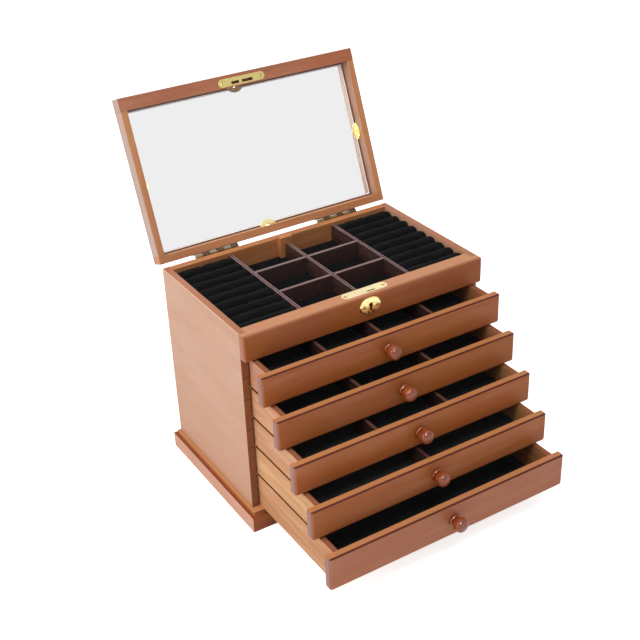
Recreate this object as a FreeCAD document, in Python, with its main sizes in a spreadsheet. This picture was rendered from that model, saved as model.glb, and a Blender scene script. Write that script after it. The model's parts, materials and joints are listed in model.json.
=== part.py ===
import FreeCAD, Part
import os
import re
import Sketcher

# Wooden jewellery box with a hinged mirror lid, a lined tray and five drawers.
#
# Frame: +X to the right, +Y to the back, +Z up, in millimetres. The origin is the centre of the
# plinth's underside. The model stands with its lid open and its drawers pulled out in steps.
#
# Lengths are written as formulas over the aliases in the sheet "Sizes". A part is drawn about
# its own local origin and carried to its place by a Placement that is bound to the sheet.

Vector = FreeCAD.Vector
TOLERANCE = 1e-3

SIZES = {
    # case
    "case_width": 300.0,
    "case_depth": 176.0,
    "case_height": 217.2,
    "side_thickness": 8.0,
    "back_thickness": 9.0,
    "top_round": 1.2,
    # base board
    "base_height": 23.5,
    "base_side_step": 6.4,
    "base_front_step": 12.2,
    "base_back_step": 7.2,
    "base_face_height": 18.6,
    "bead_inset": 3.4,
    "bead_height": 2.3,
    "cove_inset": 5.0,
    "cove_round": 2.4,
    "moulding_width": 24.0,
    "base_rebate": 6.0,
    "base_panel_thickness": 5.0,
    # front rail
    "rail_height": 29.3,
    "rail_proud": 9.0,
    "rail_tongue": 10.3,
    "rail_end_round": 2.5,
    # tray
    "tray_floor_depth": 24.3,
    "tray_floor_thickness": 4.0,
    "tray_lining_thickness": 2.0,
    "tray_divider_thickness": 4.2,
    "tray_divider_spacing": 68.5,
    "tray_divider_shift": -1.5,
    "tray_divider_drop": 3.0,
    "tray_groove_width": 1.3,
    "tray_groove_depth": 1.2,
    "cross_divider_thickness": 4.0,
    "cross_divider_front": 60.0,
    "cross_divider_rear": 113.3,
    "post_width": 16.0,
    "post_depth": 9.0,
    "post_rise": 3.5,
    # ring rolls
    "roll_count": 9.0,
    "roll_gap": 0.5,
    "roll_drop": 2.0,
    # drawers
    "front_height": 34.8,
    "deep_front_height": 39.5,
    "front_thickness": 9.0,
    "front_gap": 1.75,
    "front_end_round": 3.0,
    "front_foot_round": 2.5,
    "front_top_round": 0.8,
    "drawer_width": 281.0,
    "drawer_length": 165.0,
    "drawer_side_height": 33.4,
    "drawer_wall": 6.0,
    "drawer_bottom_rise": 7.0,
    "deep_bottom_rise": 3.0,
    "drawer_bottom_thickness": 3.0,
    "drawer_lining_thickness": 1.5,
    "drawer_divider_thickness": 4.0,
    "drawer_divider_drop": 2.5,
    "soft_clearance": 0.3,
    "runner_width": 8.0,
    "runner_height": 2.4,
    "runner_clearance": 0.3,
    "pull_one": 33.0,
    "pull_two": 60.0,
    "pull_three": 89.0,
    "pull_four": 118.0,
    "pull_five": 149.0,
    # knobs
    "knob_shift": 1.0,
    "knob_rise": 1.0,
    "knob_collar_radius": 7.0,
    "knob_collar_thickness": 4.4,
    "knob_neck_radius": 4.4,
    "knob_groove": 1.6,
    "knob_head_radius": 8.0,
    "knob_head_rear_round": 3.4,
    "knob_head_rim": 3.4,
    "knob_head_front_round": 3.6,
    "knob_head_dome": 0.7,
    # lid
    "lid_open_angle": 111.4,
    "lid_depth": 185.0,
    "lid_gap": 0.4,
    "lid_frame_height": 16.0,
    "lid_panel_thickness": 4.0,
    "lid_panel_round": 3.0,
    "lid_front_rail_width": 14.4,
    "lid_rear_rail_width": 8.6,
    "mirror_thickness": 2.5,
    "mirror_clearance": 0.4,
    # mirror clips
    "clip_length": 21.0,
    "clip_height": 6.4,
    "clip_sheet": 0.8,
    "clip_side_reach": 87.7,
    "clip_cross_shift": -4.0,
    # hinges
    "hinge_length": 54.0,
    "hinge_spread": 80.5,
    "hinge_leaf_width": 11.0,
    "hinge_leaf_thickness": 1.2,
    "hinge_pin_back": 3.0,
    "hinge_pin_radius": 0.9,
    "hinge_bore_radius": 0.95,
    "hinge_barrel_radius": 1.8,
    "hinge_knuckle_gap": 0.3,
    "hinge_screw_spacing": 19.0,
    # lock
    "lock_shift": 2.5,
    "lock_case_width": 44.0,
    "lock_case_depth": 8.0,
    "lock_case_height": 22.0,
    "lock_case_front": -1.0,
    "plate_length": 56.0,
    "plate_width": 12.0,
    "plate_thickness": 1.2,
    "plate_centre": 3.9,
    "plate_screw_spacing": 48.0,
    "bolt_width": 9.4,
    "bolt_thickness": 1.5,
    "bolt_length": 18.0,
    "bolt_shift": 8.7,
    "bolt_centre": 0.8,
    "bolt_clearance": 0.4,
    "bolt_drop": 0.6,
    "escutcheon_width": 26.4,
    "escutcheon_height": 20.0,
    "escutcheon_thickness": 1.8,
    "escutcheon_bevel": 1.0,
    "escutcheon_shift": 0.9,
    "escutcheon_drop": 11.4,
    "escutcheon_screw_spacing": 17.0,
    "keyhole_radius": 2.3,
    "keyhole_rise": 1.6,
    "keyhole_slot_width": 3.0,
    "keyhole_slot_drop": 4.8,
    "keyhole_spare": 0.9,
    # strike plate
    "strike_length": 59.4,
    "strike_width": 9.2,
    "strike_reach": 176.6,
    "strike_slot_width": 3.2,
    "strike_slot_reach": 175.2,
    "strike_bolt_slot_length": 13.8,
    "strike_bolt_slot_shift": 7.3,
    "strike_guide_slot_length": 10.0,
    "strike_guide_slot_shift": -8.3,
    "strike_pocket_depth": 8.0,
    "strike_screw_spacing": 49.6,
    # screws
    "screw_head_radius": 1.9,
    "screw_hole_radius": 1.95,
    "screw_head_dome": 0.4,
    "screw_shank_radius": 1.1,
    "screw_length": 6.5,
}

document = FreeCAD.newDocument("JewelleryBox")
sheet = document.addObject("Spreadsheet::Sheet", "Sizes")
for row, (alias, size) in enumerate(SIZES.items(), start=1):
    sheet.set(f"A{row}", alias)
    sheet.set(f"B{row}", str(size))
    sheet.setAlias(f"B{row}", alias)
document.recompute()

# Planes that many parts share, as formulas.
FRONT_PLANE = "((base_front_step - base_back_step - case_depth) / 2)"
BACK_PLANE = f"({FRONT_PLANE} + case_depth)"
CASE_TOP = "(base_height + case_height)"
INNER_WIDTH = "(case_width - 2 * side_thickness)"
TRAY_FRONT = f"({FRONT_PLANE} + rail_tongue)"
TRAY_LENGTH = "(case_depth - rail_tongue - back_thickness)"
TRAY_FLOOR_TOP = f"({CASE_TOP} - tray_floor_depth)"
TRAY_LINING_TOP = f"({TRAY_FLOOR_TOP} + tray_lining_thickness)"
LEFT_DIVIDER = "(tray_divider_shift - tray_divider_spacing)"
RIGHT_DIVIDER = "(tray_divider_shift + tray_divider_spacing)"
PULLS = ("pull_one", "pull_two", "pull_three", "pull_four", "pull_five")
FRONT_HEIGHTS = 4 * ("front_height",) + ("deep_front_height",)
SIDE_HEIGHTS = 4 * ("drawer_side_height",) + ("deep_front_height",)
BOTTOM_RISES = 4 * ("drawer_bottom_rise",) + ("deep_bottom_rise",)
DRAWER_DIVIDERS = (3, 2, 2, 1, 0)

nodes = []


def qualify(formula):
    """Put the sheet's name before every alias in a formula."""
    def with_sheet(match):
        word = match.group(0)
        return f"Sizes.{word}" if word in SIZES else word
    return re.sub(r"[a-z_]+", with_sheet, str(formula))


def value(formula):
    """Work out a formula over the sheet as a plain number."""
    return float(sheet.evalExpression(qualify(formula)))


def bind(target, field, formula):
    """Bind one field of an object to a formula over the sheet."""
    target.setExpression(field, qualify(formula))


def placement_formula(x, y, z, angle="0", axis=(1, 0, 0)):
    """Write a placement as an expression: a shift and a turn about an axis."""
    shift = f"create(<<vector>>; {x}; {y}; {z})"
    turn = "create(<<rotation>>; create(<<vector>>; %d; %d; %d); %s)" % (*axis, angle)
    return f"create(<<placement>>; {shift}; {turn})"


LID_FRAME = placement_formula("0", f"{BACK_PLANE} + hinge_pin_back", CASE_TOP, "-lid_open_angle")


def place(target, x, y, z, angle="0", axis=(0, 0, 1), on_lid=False):
    """Bind an object's Placement; on_lid measures it from the hinge pin of the closed lid."""
    formula = placement_formula(x, y, z, angle, axis)
    bind(target, "Placement", f"{LID_FRAME} * {formula}" if on_lid else formula)


def node(label, target):
    """Name a finished sub-part and list it for export."""
    target.Label = label
    nodes.append(target)
    return target


def box(name, size, corner, on_lid=False):
    """Make a Part::Box from three length formulas and its lowest corner."""
    solid = document.addObject("Part::Box", name)
    for field, formula in zip(("Length", "Width", "Height"), size):
        bind(solid, field, formula)
    place(solid, *corner, on_lid=on_lid)
    return solid


def group(name, members):
    """Collect separate solids in one compound."""
    compound = document.addObject("Part::Compound", name)
    compound.Links = members
    return compound


# Sketches and features ---------------------------------------------------------------------------

def new_body(name):
    """Start a PartDesign body."""
    return document.addObject("PartDesign::Body", name)


def new_sketch(body, plane, offset="0"):
    """Attach a sketch to one of the body's own origin planes, moved along its normal."""
    sketch = body.newObject("Sketcher::SketchObject", f"{body.Name}_sketch")
    support = next(item for item in body.Origin.OriginFeatures if item.Role == plane)
    sketch.AttachmentSupport = (support, [""])
    sketch.MapMode = "FlatFace"
    bind(sketch, "AttachmentOffset.Base.z", offset)
    return sketch


def pin_point(sketch, geometry, vertex, x, y):
    """Hold one end of a sketch line or arc at formulas measured from the sketch's origin."""
    for kind, formula in (("DistanceX", x), ("DistanceY", y)):
        index = sketch.addConstraint(
            Sketcher.Constraint(kind, -1, 1, geometry, vertex, value(formula)))
        bind(sketch, f"Constraints[{index}]", formula)


def arc_through(start, end, radius, bulge):
    """Make the arc from start to end with a radius; bulge +1 or -1 picks its side, 2 the long way."""
    chord = end - start
    middle = (start + end) * 0.5
    normal = Vector(chord.y, -chord.x, 0).normalize()
    drop = max(radius ** 2 - (chord.Length / 2) ** 2, 0) ** 0.5
    side = 1 if bulge > 0 else -1
    centre = middle + normal * side * (drop if abs(bulge) == 2 else -drop)
    if side < 0:
        start, end = end, start
    return Part.Arc(start, centre + normal * side * radius, end)


def hold_arc(sketch, arc, start, end, point):
    """Hold an arc by its radius, or a half circle by its centre, which lies level with its ends."""
    if (end - start).Length / 2 < value(point[2]) - TOLERANCE:
        index = sketch.addConstraint(Sketcher.Constraint("Radius", arc, value(point[2])))
        bind(sketch, f"Constraints[{index}]", point[2])
        return
    upright = abs(end.x - start.x) < TOLERANCE
    kind, formula = ("DistanceX", point[0]) if upright else ("DistanceY", point[1])
    index = sketch.addConstraint(Sketcher.Constraint(kind, -1, 1, arc, 3, value(formula)))
    bind(sketch, f"Constraints[{index}]", formula)


def outline(sketch, points):
    """Draw a closed outline. A point is (x, y), or (x, y, radius, bulge) to arrive by an arc."""
    spots = [Vector(value(point[0]), value(point[1]), 0) for point in points]
    first = sketch.GeometryCount
    ends = []
    for index, point in enumerate(points):
        start, end = spots[index - 1], spots[index]
        if len(point) == 4:
            sketch.addGeometry(arc_through(start, end, value(point[2]), point[3]), False)
            arc = sketch.Geometry[first + index]
            ends.append((1, 2) if arc.StartPoint.distanceToPoint(start) < TOLERANCE else (2, 1))
            hold_arc(sketch, first + index, start, end, point)
        else:
            sketch.addGeometry(Part.LineSegment(start, end), False)
            ends.append((1, 2))
    for index, point in enumerate(points):
        following = (index + 1) % len(points)
        sketch.addConstraint(Sketcher.Constraint(
            "Coincident", first + index, ends[index][1], first + following, ends[following][0]))
        pin_point(sketch, first + index, ends[index][1], point[0], point[1])


def rectangle(sketch, left, low, right, high):
    """Draw a rectangle between formulas for its four sides."""
    outline(sketch, [(left, low), (right, low), (right, high), (left, high)])


def circle(sketch, x, y, radius):
    """Draw a circle at formulas for its centre and radius."""
    spot = Vector(value(x), value(y), 0)
    index = sketch.addGeometry(Part.Circle(spot, Vector(0, 0, 1), value(radius)), False)
    pin_point(sketch, index, 3, x, y)
    constraint = sketch.addConstraint(Sketcher.Constraint("Radius", index, value(radius)))
    bind(sketch, f"Constraints[{constraint}]", radius)


def pad(body, sketch, length):
    """Grow a sketch into a solid along its normal."""
    feature = body.newObject("PartDesign::Pad", f"{body.Name}_pad")
    feature.Profile = sketch
    bind(feature, "Length", length)
    document.recompute()
    return feature


def pocket(body, sketch, depth):
    """Cut a sketch into the body against its normal, and make sure that it removes something."""
    before = body.Shape.Volume
    feature = body.newObject("PartDesign::Pocket", f"{body.Name}_pocket")
    feature.Profile = sketch
    bind(feature, "Length", depth)
    document.recompute()
    if not body.Shape.Volume < before - TOLERANCE:
        raise RuntimeError(f"{feature.Name} cuts nothing")
    return feature


def lies_on(edge, **coordinates):
    """Tell whether a whole edge lies on the given coordinates, such as x=0, z=10."""
    bounds = edge.BoundBox
    return all(
        abs(getattr(bounds, f"{axis.upper()}Min") - place_on_axis) < TOLERANCE
        and abs(getattr(bounds, f"{axis.upper()}Max") - place_on_axis) < TOLERANCE
        for axis, place_on_axis in coordinates.items())


def dress(body, kind, size, *places):
    """Add a Fillet or Chamfer to every edge that lies on one of the places."""
    feature = body.newObject(f"PartDesign::{kind}", f"{body.Name}_{kind.lower()}")
    base = body.Tip if body.Tip is not feature else feature.BaseFeature
    names = [
        f"Edge{number}" for number, edge in enumerate(base.Shape.Edges, start=1)
        if any(lies_on(edge, **spot) for spot in places)]
    if not names:
        raise RuntimeError(f"{feature.Name} finds no edge")
    feature.Base = (base, names)
    bind(feature, "Radius" if kind == "Fillet" else "Size", size)
    body.Tip = feature
    document.recompute()
    return feature


# Screws ------------------------------------------------------------------------------------------

FLUSH_HEAD = "(plate_thickness - screw_head_dome)"


def screw(name, x, y, z, angle, axis, on_lid=False, head=FLUSH_HEAD):
    """Make a round-headed wood screw that points down before it is turned into place."""
    body = new_body(name)
    sketch = new_sketch(body, "XZ_Plane")
    outline(sketch, [
        ("0", "-screw_length"), ("screw_shank_radius * 0.6", "-screw_length"),
        ("screw_shank_radius", f"-{head} - 0.6"), ("screw_shank_radius", f"-{head}"),
        ("screw_head_radius", f"-{head}"), ("screw_head_radius", "0"),
        ("0", "screw_head_dome")])
    turned = body.newObject("PartDesign::Revolution", f"{name}_turned")
    turned.Profile = sketch
    turned.ReferenceAxis = (sketch, ["V_Axis"])
    turned.Angle = 360.0
    document.recompute()
    slot = new_sketch(body, "XY_Plane", "screw_head_dome")
    rectangle(slot, "-screw_head_radius * 1.1", "-0.3", "screw_head_radius * 1.1", "0.3")
    pocket(body, slot, "screw_head_dome + 0.4")
    place(body, x, y, z, angle, axis, on_lid=on_lid)
    return body


# Case --------------------------------------------------------------------------------------------

def moulding(name, length, x, y, angle):
    """One length of base moulding, mitred at both ends; its outer face looks towards -Y."""
    bead = "(base_height - bead_height)"
    rebate = "(moulding_width - base_rebate)"
    section = new_body(f"{name}_section")
    sketch = new_sketch(section, "YZ_Plane", f"-{length} / 2")
    outline(sketch, [
        ("0", "0"), ("0", "base_face_height"), ("cove_inset - cove_round", "base_face_height"),
        ("cove_inset", "base_face_height + cove_round", "cove_round", 1), ("cove_inset", bead),
        ("bead_inset + bead_height / 2", bead),
        ("bead_inset + bead_height / 2", "base_height", "bead_height / 2", -1),
        ("moulding_width", "base_height"), ("moulding_width", "base_panel_thickness"),
        (rebate, "base_panel_thickness"), (rebate, "0")])
    pad(section, sketch, length)
    plan = new_body(f"{name}_plan")
    sketch = new_sketch(plan, "XY_Plane")
    outline(sketch, [
        (f"-{length} / 2", "0"), (f"{length} / 2", "0"),
        (f"{length} / 2 - moulding_width", "moulding_width"),
        (f"-{length} / 2 + moulding_width", "moulding_width")])
    pad(plan, sketch, "base_height")
    mitred = document.addObject("Part::Common", name)
    mitred.Base = section
    mitred.Tool = plan
    place(mitred, x, y, "0", angle)
    return mitred


def make_base():
    """A plinth of four mitred mouldings, and the panel let into it flush with the underside."""
    width = "(case_width + 2 * base_side_step)"
    depth = "(case_depth + base_front_step + base_back_step)"
    node("plinth_frame", group("plinth_frame", [
        moulding("moulding_front", width, "0", f"-{depth} / 2", "0"),
        moulding("moulding_back", width, "0", f"{depth} / 2", "180"),
        moulding("moulding_left", depth, f"-{width} / 2", "0", "-90"),
        moulding("moulding_right", depth, f"{width} / 2", "0", "90")]))
    margin = "(moulding_width - base_rebate)"
    node("base_panel", box(
        "base_panel",
        (f"{width} - 2 * {margin}", f"{depth} - 2 * {margin}", "base_panel_thickness"),
        (f"-{width} / 2 + {margin}", f"-{depth} / 2 + {margin}", "0")))


def make_side_panels():
    """Two side boards that stand on the base board; their top outer edges are eased."""
    for name, x, y, angle in (
            ("side_panel_left", "-case_width / 2", FRONT_PLANE, "0"),
            ("side_panel_right", "case_width / 2", BACK_PLANE, "180")):
        body = new_body(name)
        sketch = new_sketch(body, "XY_Plane")
        rectangle(sketch, "0", "0", "side_thickness", "case_depth")
        pad(body, sketch, "case_height")
        dress(body, "Fillet", "top_round", dict(x=0, z=value("case_height")))
        place(body, x, y, "base_height", angle)
        node(name, body)


def make_back_panel():
    """The back board between the sides."""
    body = new_body("back_panel")
    sketch = new_sketch(body, "XY_Plane")
    rectangle(sketch, f"-{INNER_WIDTH} / 2", "-back_thickness", f"{INNER_WIDTH} / 2", "0")
    pad(body, sketch, "case_height")
    place(body, "0", BACK_PLANE, "base_height")
    node("back_panel", body)


def keyhole(sketch, centre_x, centre_y, spare="0"):
    """Draw a keyhole, a round eye that opens into a slot below it, with room to spare round it."""
    eye = f"{centre_y} + keyhole_rise"
    half = f"(keyhole_slot_width / 2 + {spare})"
    radius = f"(keyhole_radius + {spare})"
    foot = f"{centre_y} - keyhole_slot_drop - {spare}"
    neck = f"{eye} - ({radius} ^ 2 - {half} ^ 2) ^ 0.5"
    outline(sketch, [
        (f"{centre_x} - {half}", foot), (f"{centre_x} + {half}", foot),
        (f"{centre_x} + {half}", neck), (f"{centre_x} - {half}", neck, radius, 2)])


def make_front_rail():
    """The rail that carries the lock: it covers the sides' front edges and is tongued between them."""
    body = new_body("front_rail")
    sketch = new_sketch(body, "XY_Plane")
    outline(sketch, [
        ("-case_width / 2", "-rail_proud"), ("case_width / 2", "-rail_proud"),
        ("case_width / 2", "0"), (f"{INNER_WIDTH} / 2", "0"),
        (f"{INNER_WIDTH} / 2", "rail_tongue"), (f"-{INNER_WIDTH} / 2", "rail_tongue"),
        (f"-{INNER_WIDTH} / 2", "0"), ("-case_width / 2", "0")])
    pad(body, sketch, "rail_height")
    face = -value("rail_proud")
    end = value("case_width / 2")
    top = value("rail_height")
    dress(body, "Fillet", "rail_end_round", dict(x=end, y=face), dict(x=-end, y=face))
    dress(body, "Fillet", "top_round", dict(y=face, z=top), dict(y=face, z=0))
    mortise = new_sketch(body, "XY_Plane", "rail_height")
    rectangle(mortise, "lock_shift - lock_case_width / 2", "lock_case_front",
              "lock_shift + lock_case_width / 2", "lock_case_front + lock_case_depth")
    pocket(body, mortise, "plate_thickness + lock_case_height")
    recess = new_sketch(body, "XY_Plane", "rail_height")
    stadium(recess, "lock_shift", "plate_centre", "plate_length", "plate_width")
    pocket(body, recess, "plate_thickness")
    hole = new_sketch(body, "XZ_Plane", "rail_proud")
    keyhole(hole, "escutcheon_shift", "rail_height - escutcheon_drop", "keyhole_spare")
    pocket(body, hole, "rail_proud + lock_case_front + 0.5")
    place(body, "0", FRONT_PLANE, f"{CASE_TOP} - rail_height")
    node("front_rail", body)


def stadium(sketch, centre_x, centre_y, length, width):
    """Draw a long plate with fully round ends."""
    left = f"{centre_x} - ({length} - {width}) / 2"
    right = f"{centre_x} + ({length} - {width}) / 2"
    low = f"{centre_y} - {width} / 2"
    high = f"{centre_y} + {width} / 2"
    outline(sketch, [(right, low), (right, high, f"{width} / 2", 1),
                     (left, high), (left, low, f"{width} / 2", 1)])


def make_drawer_runners():
    """Strips on both side panels that carry the upper drawers; the lowest runs on the plinth."""
    strips = []
    for number in range(len(PULLS) - 1):
        top = f"{drawer_foot(number)} + front_height - drawer_side_height - runner_clearance"
        for side, x in (("left", f"-{INNER_WIDTH} / 2"),
                        ("right", f"{INNER_WIDTH} / 2 - runner_width")):
            strips.append(box(
                f"runner_{side}_{number + 1}",
                ("runner_width", "case_depth - back_thickness - 1", "runner_height"),
                (x, f"{FRONT_PLANE} + 1", f"{top} - runner_height")))
    node("drawer_runners", group("drawer_runners", strips))


# Tray --------------------------------------------------------------------------------------------

def make_tray_floor():
    """The tray's floor board and the velvet sheet under its square compartments."""
    node("tray_floor", box(
        "tray_floor", (INNER_WIDTH, TRAY_LENGTH, "tray_floor_thickness"),
        (f"-{INNER_WIDTH} / 2", TRAY_FRONT, f"{TRAY_FLOOR_TOP} - tray_floor_thickness")))
    node("tray_lining", box(
        "tray_lining",
        ("2 * tray_divider_spacing + tray_divider_thickness", TRAY_LENGTH, "tray_lining_thickness"),
        (f"{LEFT_DIVIDER} - tray_divider_thickness / 2", TRAY_FRONT, TRAY_FLOOR_TOP)))


def long_divider(name, centre_x, length):
    """A divider from front to back with a groove along its top edge."""
    height = f"{CASE_TOP} - tray_divider_drop - {TRAY_LINING_TOP}"
    body = new_body(name)
    sketch = new_sketch(body, "XZ_Plane")
    half, groove = "tray_divider_thickness / 2", "tray_groove_width / 2"
    sunk = f"{height} - tray_groove_depth"
    outline(sketch, [
        (f"-{half}", "0"), (half, "0"), (half, height), (groove, height), (groove, sunk),
        (f"-{groove}", sunk), (f"-{groove}", height), (f"-{half}", height)])
    pad(body, sketch, length)
    place(body, centre_x, f"{TRAY_FRONT} + {length}", TRAY_LINING_TOP)
    return body


def make_tray_dividers():
    """Three long dividers and the four short ones housed between them."""
    height = f"{CASE_TOP} - tray_divider_drop - {TRAY_LINING_TOP}"
    parts = [
        long_divider("long_divider_left", LEFT_DIVIDER, TRAY_LENGTH),
        long_divider("long_divider_centre", "tray_divider_shift", f"({TRAY_LENGTH} - post_depth)"),
        long_divider("long_divider_right", RIGHT_DIVIDER, TRAY_LENGTH)]
    for side, x in (("left", LEFT_DIVIDER), ("right", "tray_divider_shift")):
        for place_name in ("front", "rear"):
            parts.append(box(
                f"cross_divider_{place_name}_{side}",
                ("tray_divider_spacing - tray_divider_thickness", "cross_divider_thickness", height),
                (f"{x} + tray_divider_thickness / 2",
                 f"{FRONT_PLANE} + cross_divider_{place_name} - cross_divider_thickness / 2",
                 TRAY_LINING_TOP)))
    node("tray_dividers", group("tray_dividers", parts))
    node("divider_post", box(
        "divider_post", ("post_width", "post_depth", "tray_divider_drop + post_rise + " + height),
        ("tray_divider_shift - post_width / 2",
         f"{BACK_PLANE} - back_thickness - post_depth", TRAY_LINING_TOP)))


def make_ring_rolls():
    """Two banks of soft rolls, side by side from front to back, that grip rings between them."""
    pitch = f"({TRAY_LENGTH} / roll_count)"
    radius = f"(({pitch} - roll_gap) / 2)"
    crest = "(tray_floor_depth - roll_drop)"
    banks = (
        ("ring_rolls_left", f"-{INNER_WIDTH} / 2 + soft_clearance",
         f"{LEFT_DIVIDER} - tray_divider_thickness / 2 - soft_clearance"),
        ("ring_rolls_right", f"{RIGHT_DIVIDER} + tray_divider_thickness / 2 + soft_clearance",
         f"{INNER_WIDTH} / 2 - soft_clearance"))
    for name, left, right in banks:
        rolls = []
        for number in range(int(SIZES["roll_count"])):
            body = new_body(f"{name}_{number + 1}")
            sketch = new_sketch(body, "YZ_Plane")
            outline(sketch, [
                (f"-{radius}", "0"), (radius, "0"), (radius, f"{crest} - {radius}"),
                (f"-{radius}", f"{crest} - {radius}", radius, 1)])
            pad(body, sketch, f"({right}) - ({left})")
            place(body, left, f"{TRAY_FRONT} + {pitch} * {number + 0.5}", TRAY_FLOOR_TOP)
            rolls.append(body)
        node(name, group(name, rolls))


# Lock --------------------------------------------------------------------------------------------

def make_lock():
    """Lock case, sliding bolt, face plate, escutcheon and the screws that hold them."""
    case_top = f"{CASE_TOP} - plate_thickness"
    case = new_body("lock_case")
    sketch = new_sketch(case, "XY_Plane")
    rectangle(sketch, "-lock_case_width / 2", "0", "lock_case_width / 2", "lock_case_depth")
    pad(case, sketch, "lock_case_height")
    channel = new_sketch(case, "XY_Plane", "lock_case_height")
    bolt_x = "bolt_shift - lock_shift"
    bolt_y = "bolt_centre - lock_case_front"
    half_x = "(bolt_width / 2 + bolt_clearance)"
    half_y = "(bolt_thickness / 2 + bolt_clearance)"
    rectangle(channel, f"{bolt_x} - {half_x}", f"{bolt_y} - {half_y}",
              f"{bolt_x} + {half_x}", f"{bolt_y} + {half_y}")
    pocket(case, channel, "lock_case_height - 1")
    hole = new_sketch(case, "XZ_Plane")
    keyhole(hole, "escutcheon_shift - lock_shift",
            "lock_case_height + plate_thickness - escutcheon_drop", "keyhole_spare")
    pocket(case, hole, "lock_case_depth / 2")
    place(case, "lock_shift", f"{FRONT_PLANE} + lock_case_front", f"{case_top} - lock_case_height")
    node("lock_case", case)

    plate = new_body("lock_face_plate")
    sketch = new_sketch(plate, "XY_Plane")
    stadium(sketch, "0", "0", "plate_length", "plate_width")
    pad(plate, sketch, "plate_thickness")
    cuts = new_sketch(plate, "XY_Plane", "plate_thickness")
    slot_y = "bolt_centre - plate_centre"
    rectangle(cuts, f"{bolt_x} - {half_x}", f"{slot_y} - {half_y}",
              f"{bolt_x} + {half_x}", f"{slot_y} + {half_y}")
    for side in ("-", ""):
        circle(cuts, f"{side}plate_screw_spacing / 2", "0", "screw_hole_radius")
    pocket(plate, cuts, "plate_thickness")
    place(plate, "lock_shift", f"{FRONT_PLANE} + plate_centre", case_top)
    node("lock_face_plate", plate)

    node("lock_bolt", box(
        "lock_bolt", ("bolt_width", "bolt_thickness", "bolt_length"),
        ("bolt_shift - bolt_width / 2", f"{FRONT_PLANE} + bolt_centre - bolt_thickness / 2",
         f"{CASE_TOP} - bolt_drop - bolt_length")))
    make_escutcheon()


def make_escutcheon():
    """An oval plate with a bevelled rim over the keyhole, and the lock's four screws."""
    oval = document.addObject("Part::Ellipse", "escutcheon_oval")
    bind(oval, "MajorRadius", "escutcheon_width / 2")
    bind(oval, "MinorRadius", "escutcheon_height / 2")
    blank = document.addObject("Part::Extrusion", "escutcheon_blank")
    blank.Base = oval
    blank.DirMode = "Custom"
    blank.Dir = Vector(0, 0, 1)
    blank.Solid = True
    bind(blank, "LengthFwd", "escutcheon_thickness")
    document.recompute()
    rim = document.addObject("Part::Chamfer", "escutcheon_rim")
    rim.Base = blank
    top = value("escutcheon_thickness")
    bevel = value("escutcheon_bevel")
    rim.Edges = [(number, bevel, bevel) for number, edge in enumerate(blank.Shape.Edges, start=1)
                 if lies_on(edge, z=top)]
    cutter = new_body("escutcheon_keyhole")
    sketch = new_sketch(cutter, "XY_Plane", "-1")
    keyhole(sketch, "0", "0")
    for side in ("-", ""):
        circle(sketch, f"{side}escutcheon_screw_spacing / 2", "0", "screw_hole_radius")
    pad(cutter, sketch, "escutcheon_thickness + 2")
    plate = document.addObject("Part::Cut", "escutcheon")
    plate.Base = rim
    plate.Tool = cutter
    height = f"{CASE_TOP} - escutcheon_drop"
    face = f"{FRONT_PLANE} - rail_proud"
    place(plate, "escutcheon_shift", face, height, "90", (1, 0, 0))
    node("escutcheon", plate)

    screws = []
    for side, sign in (("left", "-"), ("right", "+")):
        screws.append(screw(
            f"plate_screw_{side}", f"lock_shift {sign} plate_screw_spacing / 2",
            f"{FRONT_PLANE} + plate_centre", f"{CASE_TOP} - screw_head_dome", "0", (0, 0, 1)))
        screws.append(screw(
            f"escutcheon_screw_{side}", f"escutcheon_shift {sign} escutcheon_screw_spacing / 2",
            f"{face} - escutcheon_thickness", height, "90", (1, 0, 0),
            head="escutcheon_thickness"))
    node("lock_screws", group("lock_screws", screws))


# Hinges ------------------------------------------------------------------------------------------

KNUCKLES = 6
HINGE_SCREW_RISE = "(hinge_leaf_width + hinge_barrel_radius) / 2"
HINGE_SCREW_HEAD = "-hinge_pin_back + hinge_leaf_thickness - screw_head_dome"


def hinge_leaf(name, centre_x, on_lid):
    """One leaf of a butt hinge, flat on the rear, with its knuckles; drawn about the pin."""
    body = new_body(name)
    sign = "" if on_lid else "-"
    plate = new_sketch(body, "YZ_Plane")
    rectangle(plate, "-hinge_pin_back", "0",
              "-hinge_pin_back + hinge_leaf_thickness", f"{sign}hinge_leaf_width")
    pad(body, plate, "hinge_length")
    neck = new_sketch(body, "YZ_Plane")
    rectangle(neck, "-hinge_pin_back", "0", "-hinge_bore_radius", f"{sign}hinge_leaf_thickness")
    pad(body, neck, "hinge_length")
    barrel = new_sketch(body, "YZ_Plane")
    circle(barrel, "0", "0", "hinge_barrel_radius")
    pad(body, barrel, "hinge_length")
    bore = new_sketch(body, "YZ_Plane", "hinge_length")
    circle(bore, "0", "0", "hinge_bore_radius")
    pocket(body, bore, "hinge_length")
    gaps = new_sketch(body, "XZ_Plane", "5")
    reach = "(hinge_barrel_radius + hinge_knuckle_gap)"
    for knuckle in range(KNUCKLES):
        if (knuckle % 2 == 0) != on_lid:
            continue
        start = f"hinge_length * {knuckle} / {KNUCKLES} - hinge_knuckle_gap / 2"
        end = f"hinge_length * {knuckle + 1} / {KNUCKLES} + hinge_knuckle_gap / 2"
        rectangle(gaps, start, f"-{reach}", end, reach)
    pocket(body, gaps, "10")
    holes = new_sketch(body, "XZ_Plane", "5")
    for step in (-1, 0, 1):
        circle(holes, f"hinge_length / 2 + {step} * hinge_screw_spacing",
               f"{sign}{HINGE_SCREW_RISE}", "screw_hole_radius")
    pocket(body, holes, "10")
    pin_y = "0" if on_lid else f"{BACK_PLANE} + hinge_pin_back"
    pin_z = "0" if on_lid else CASE_TOP
    place(body, f"{centre_x} - hinge_length / 2", pin_y, pin_z, on_lid=on_lid)
    return body


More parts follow.
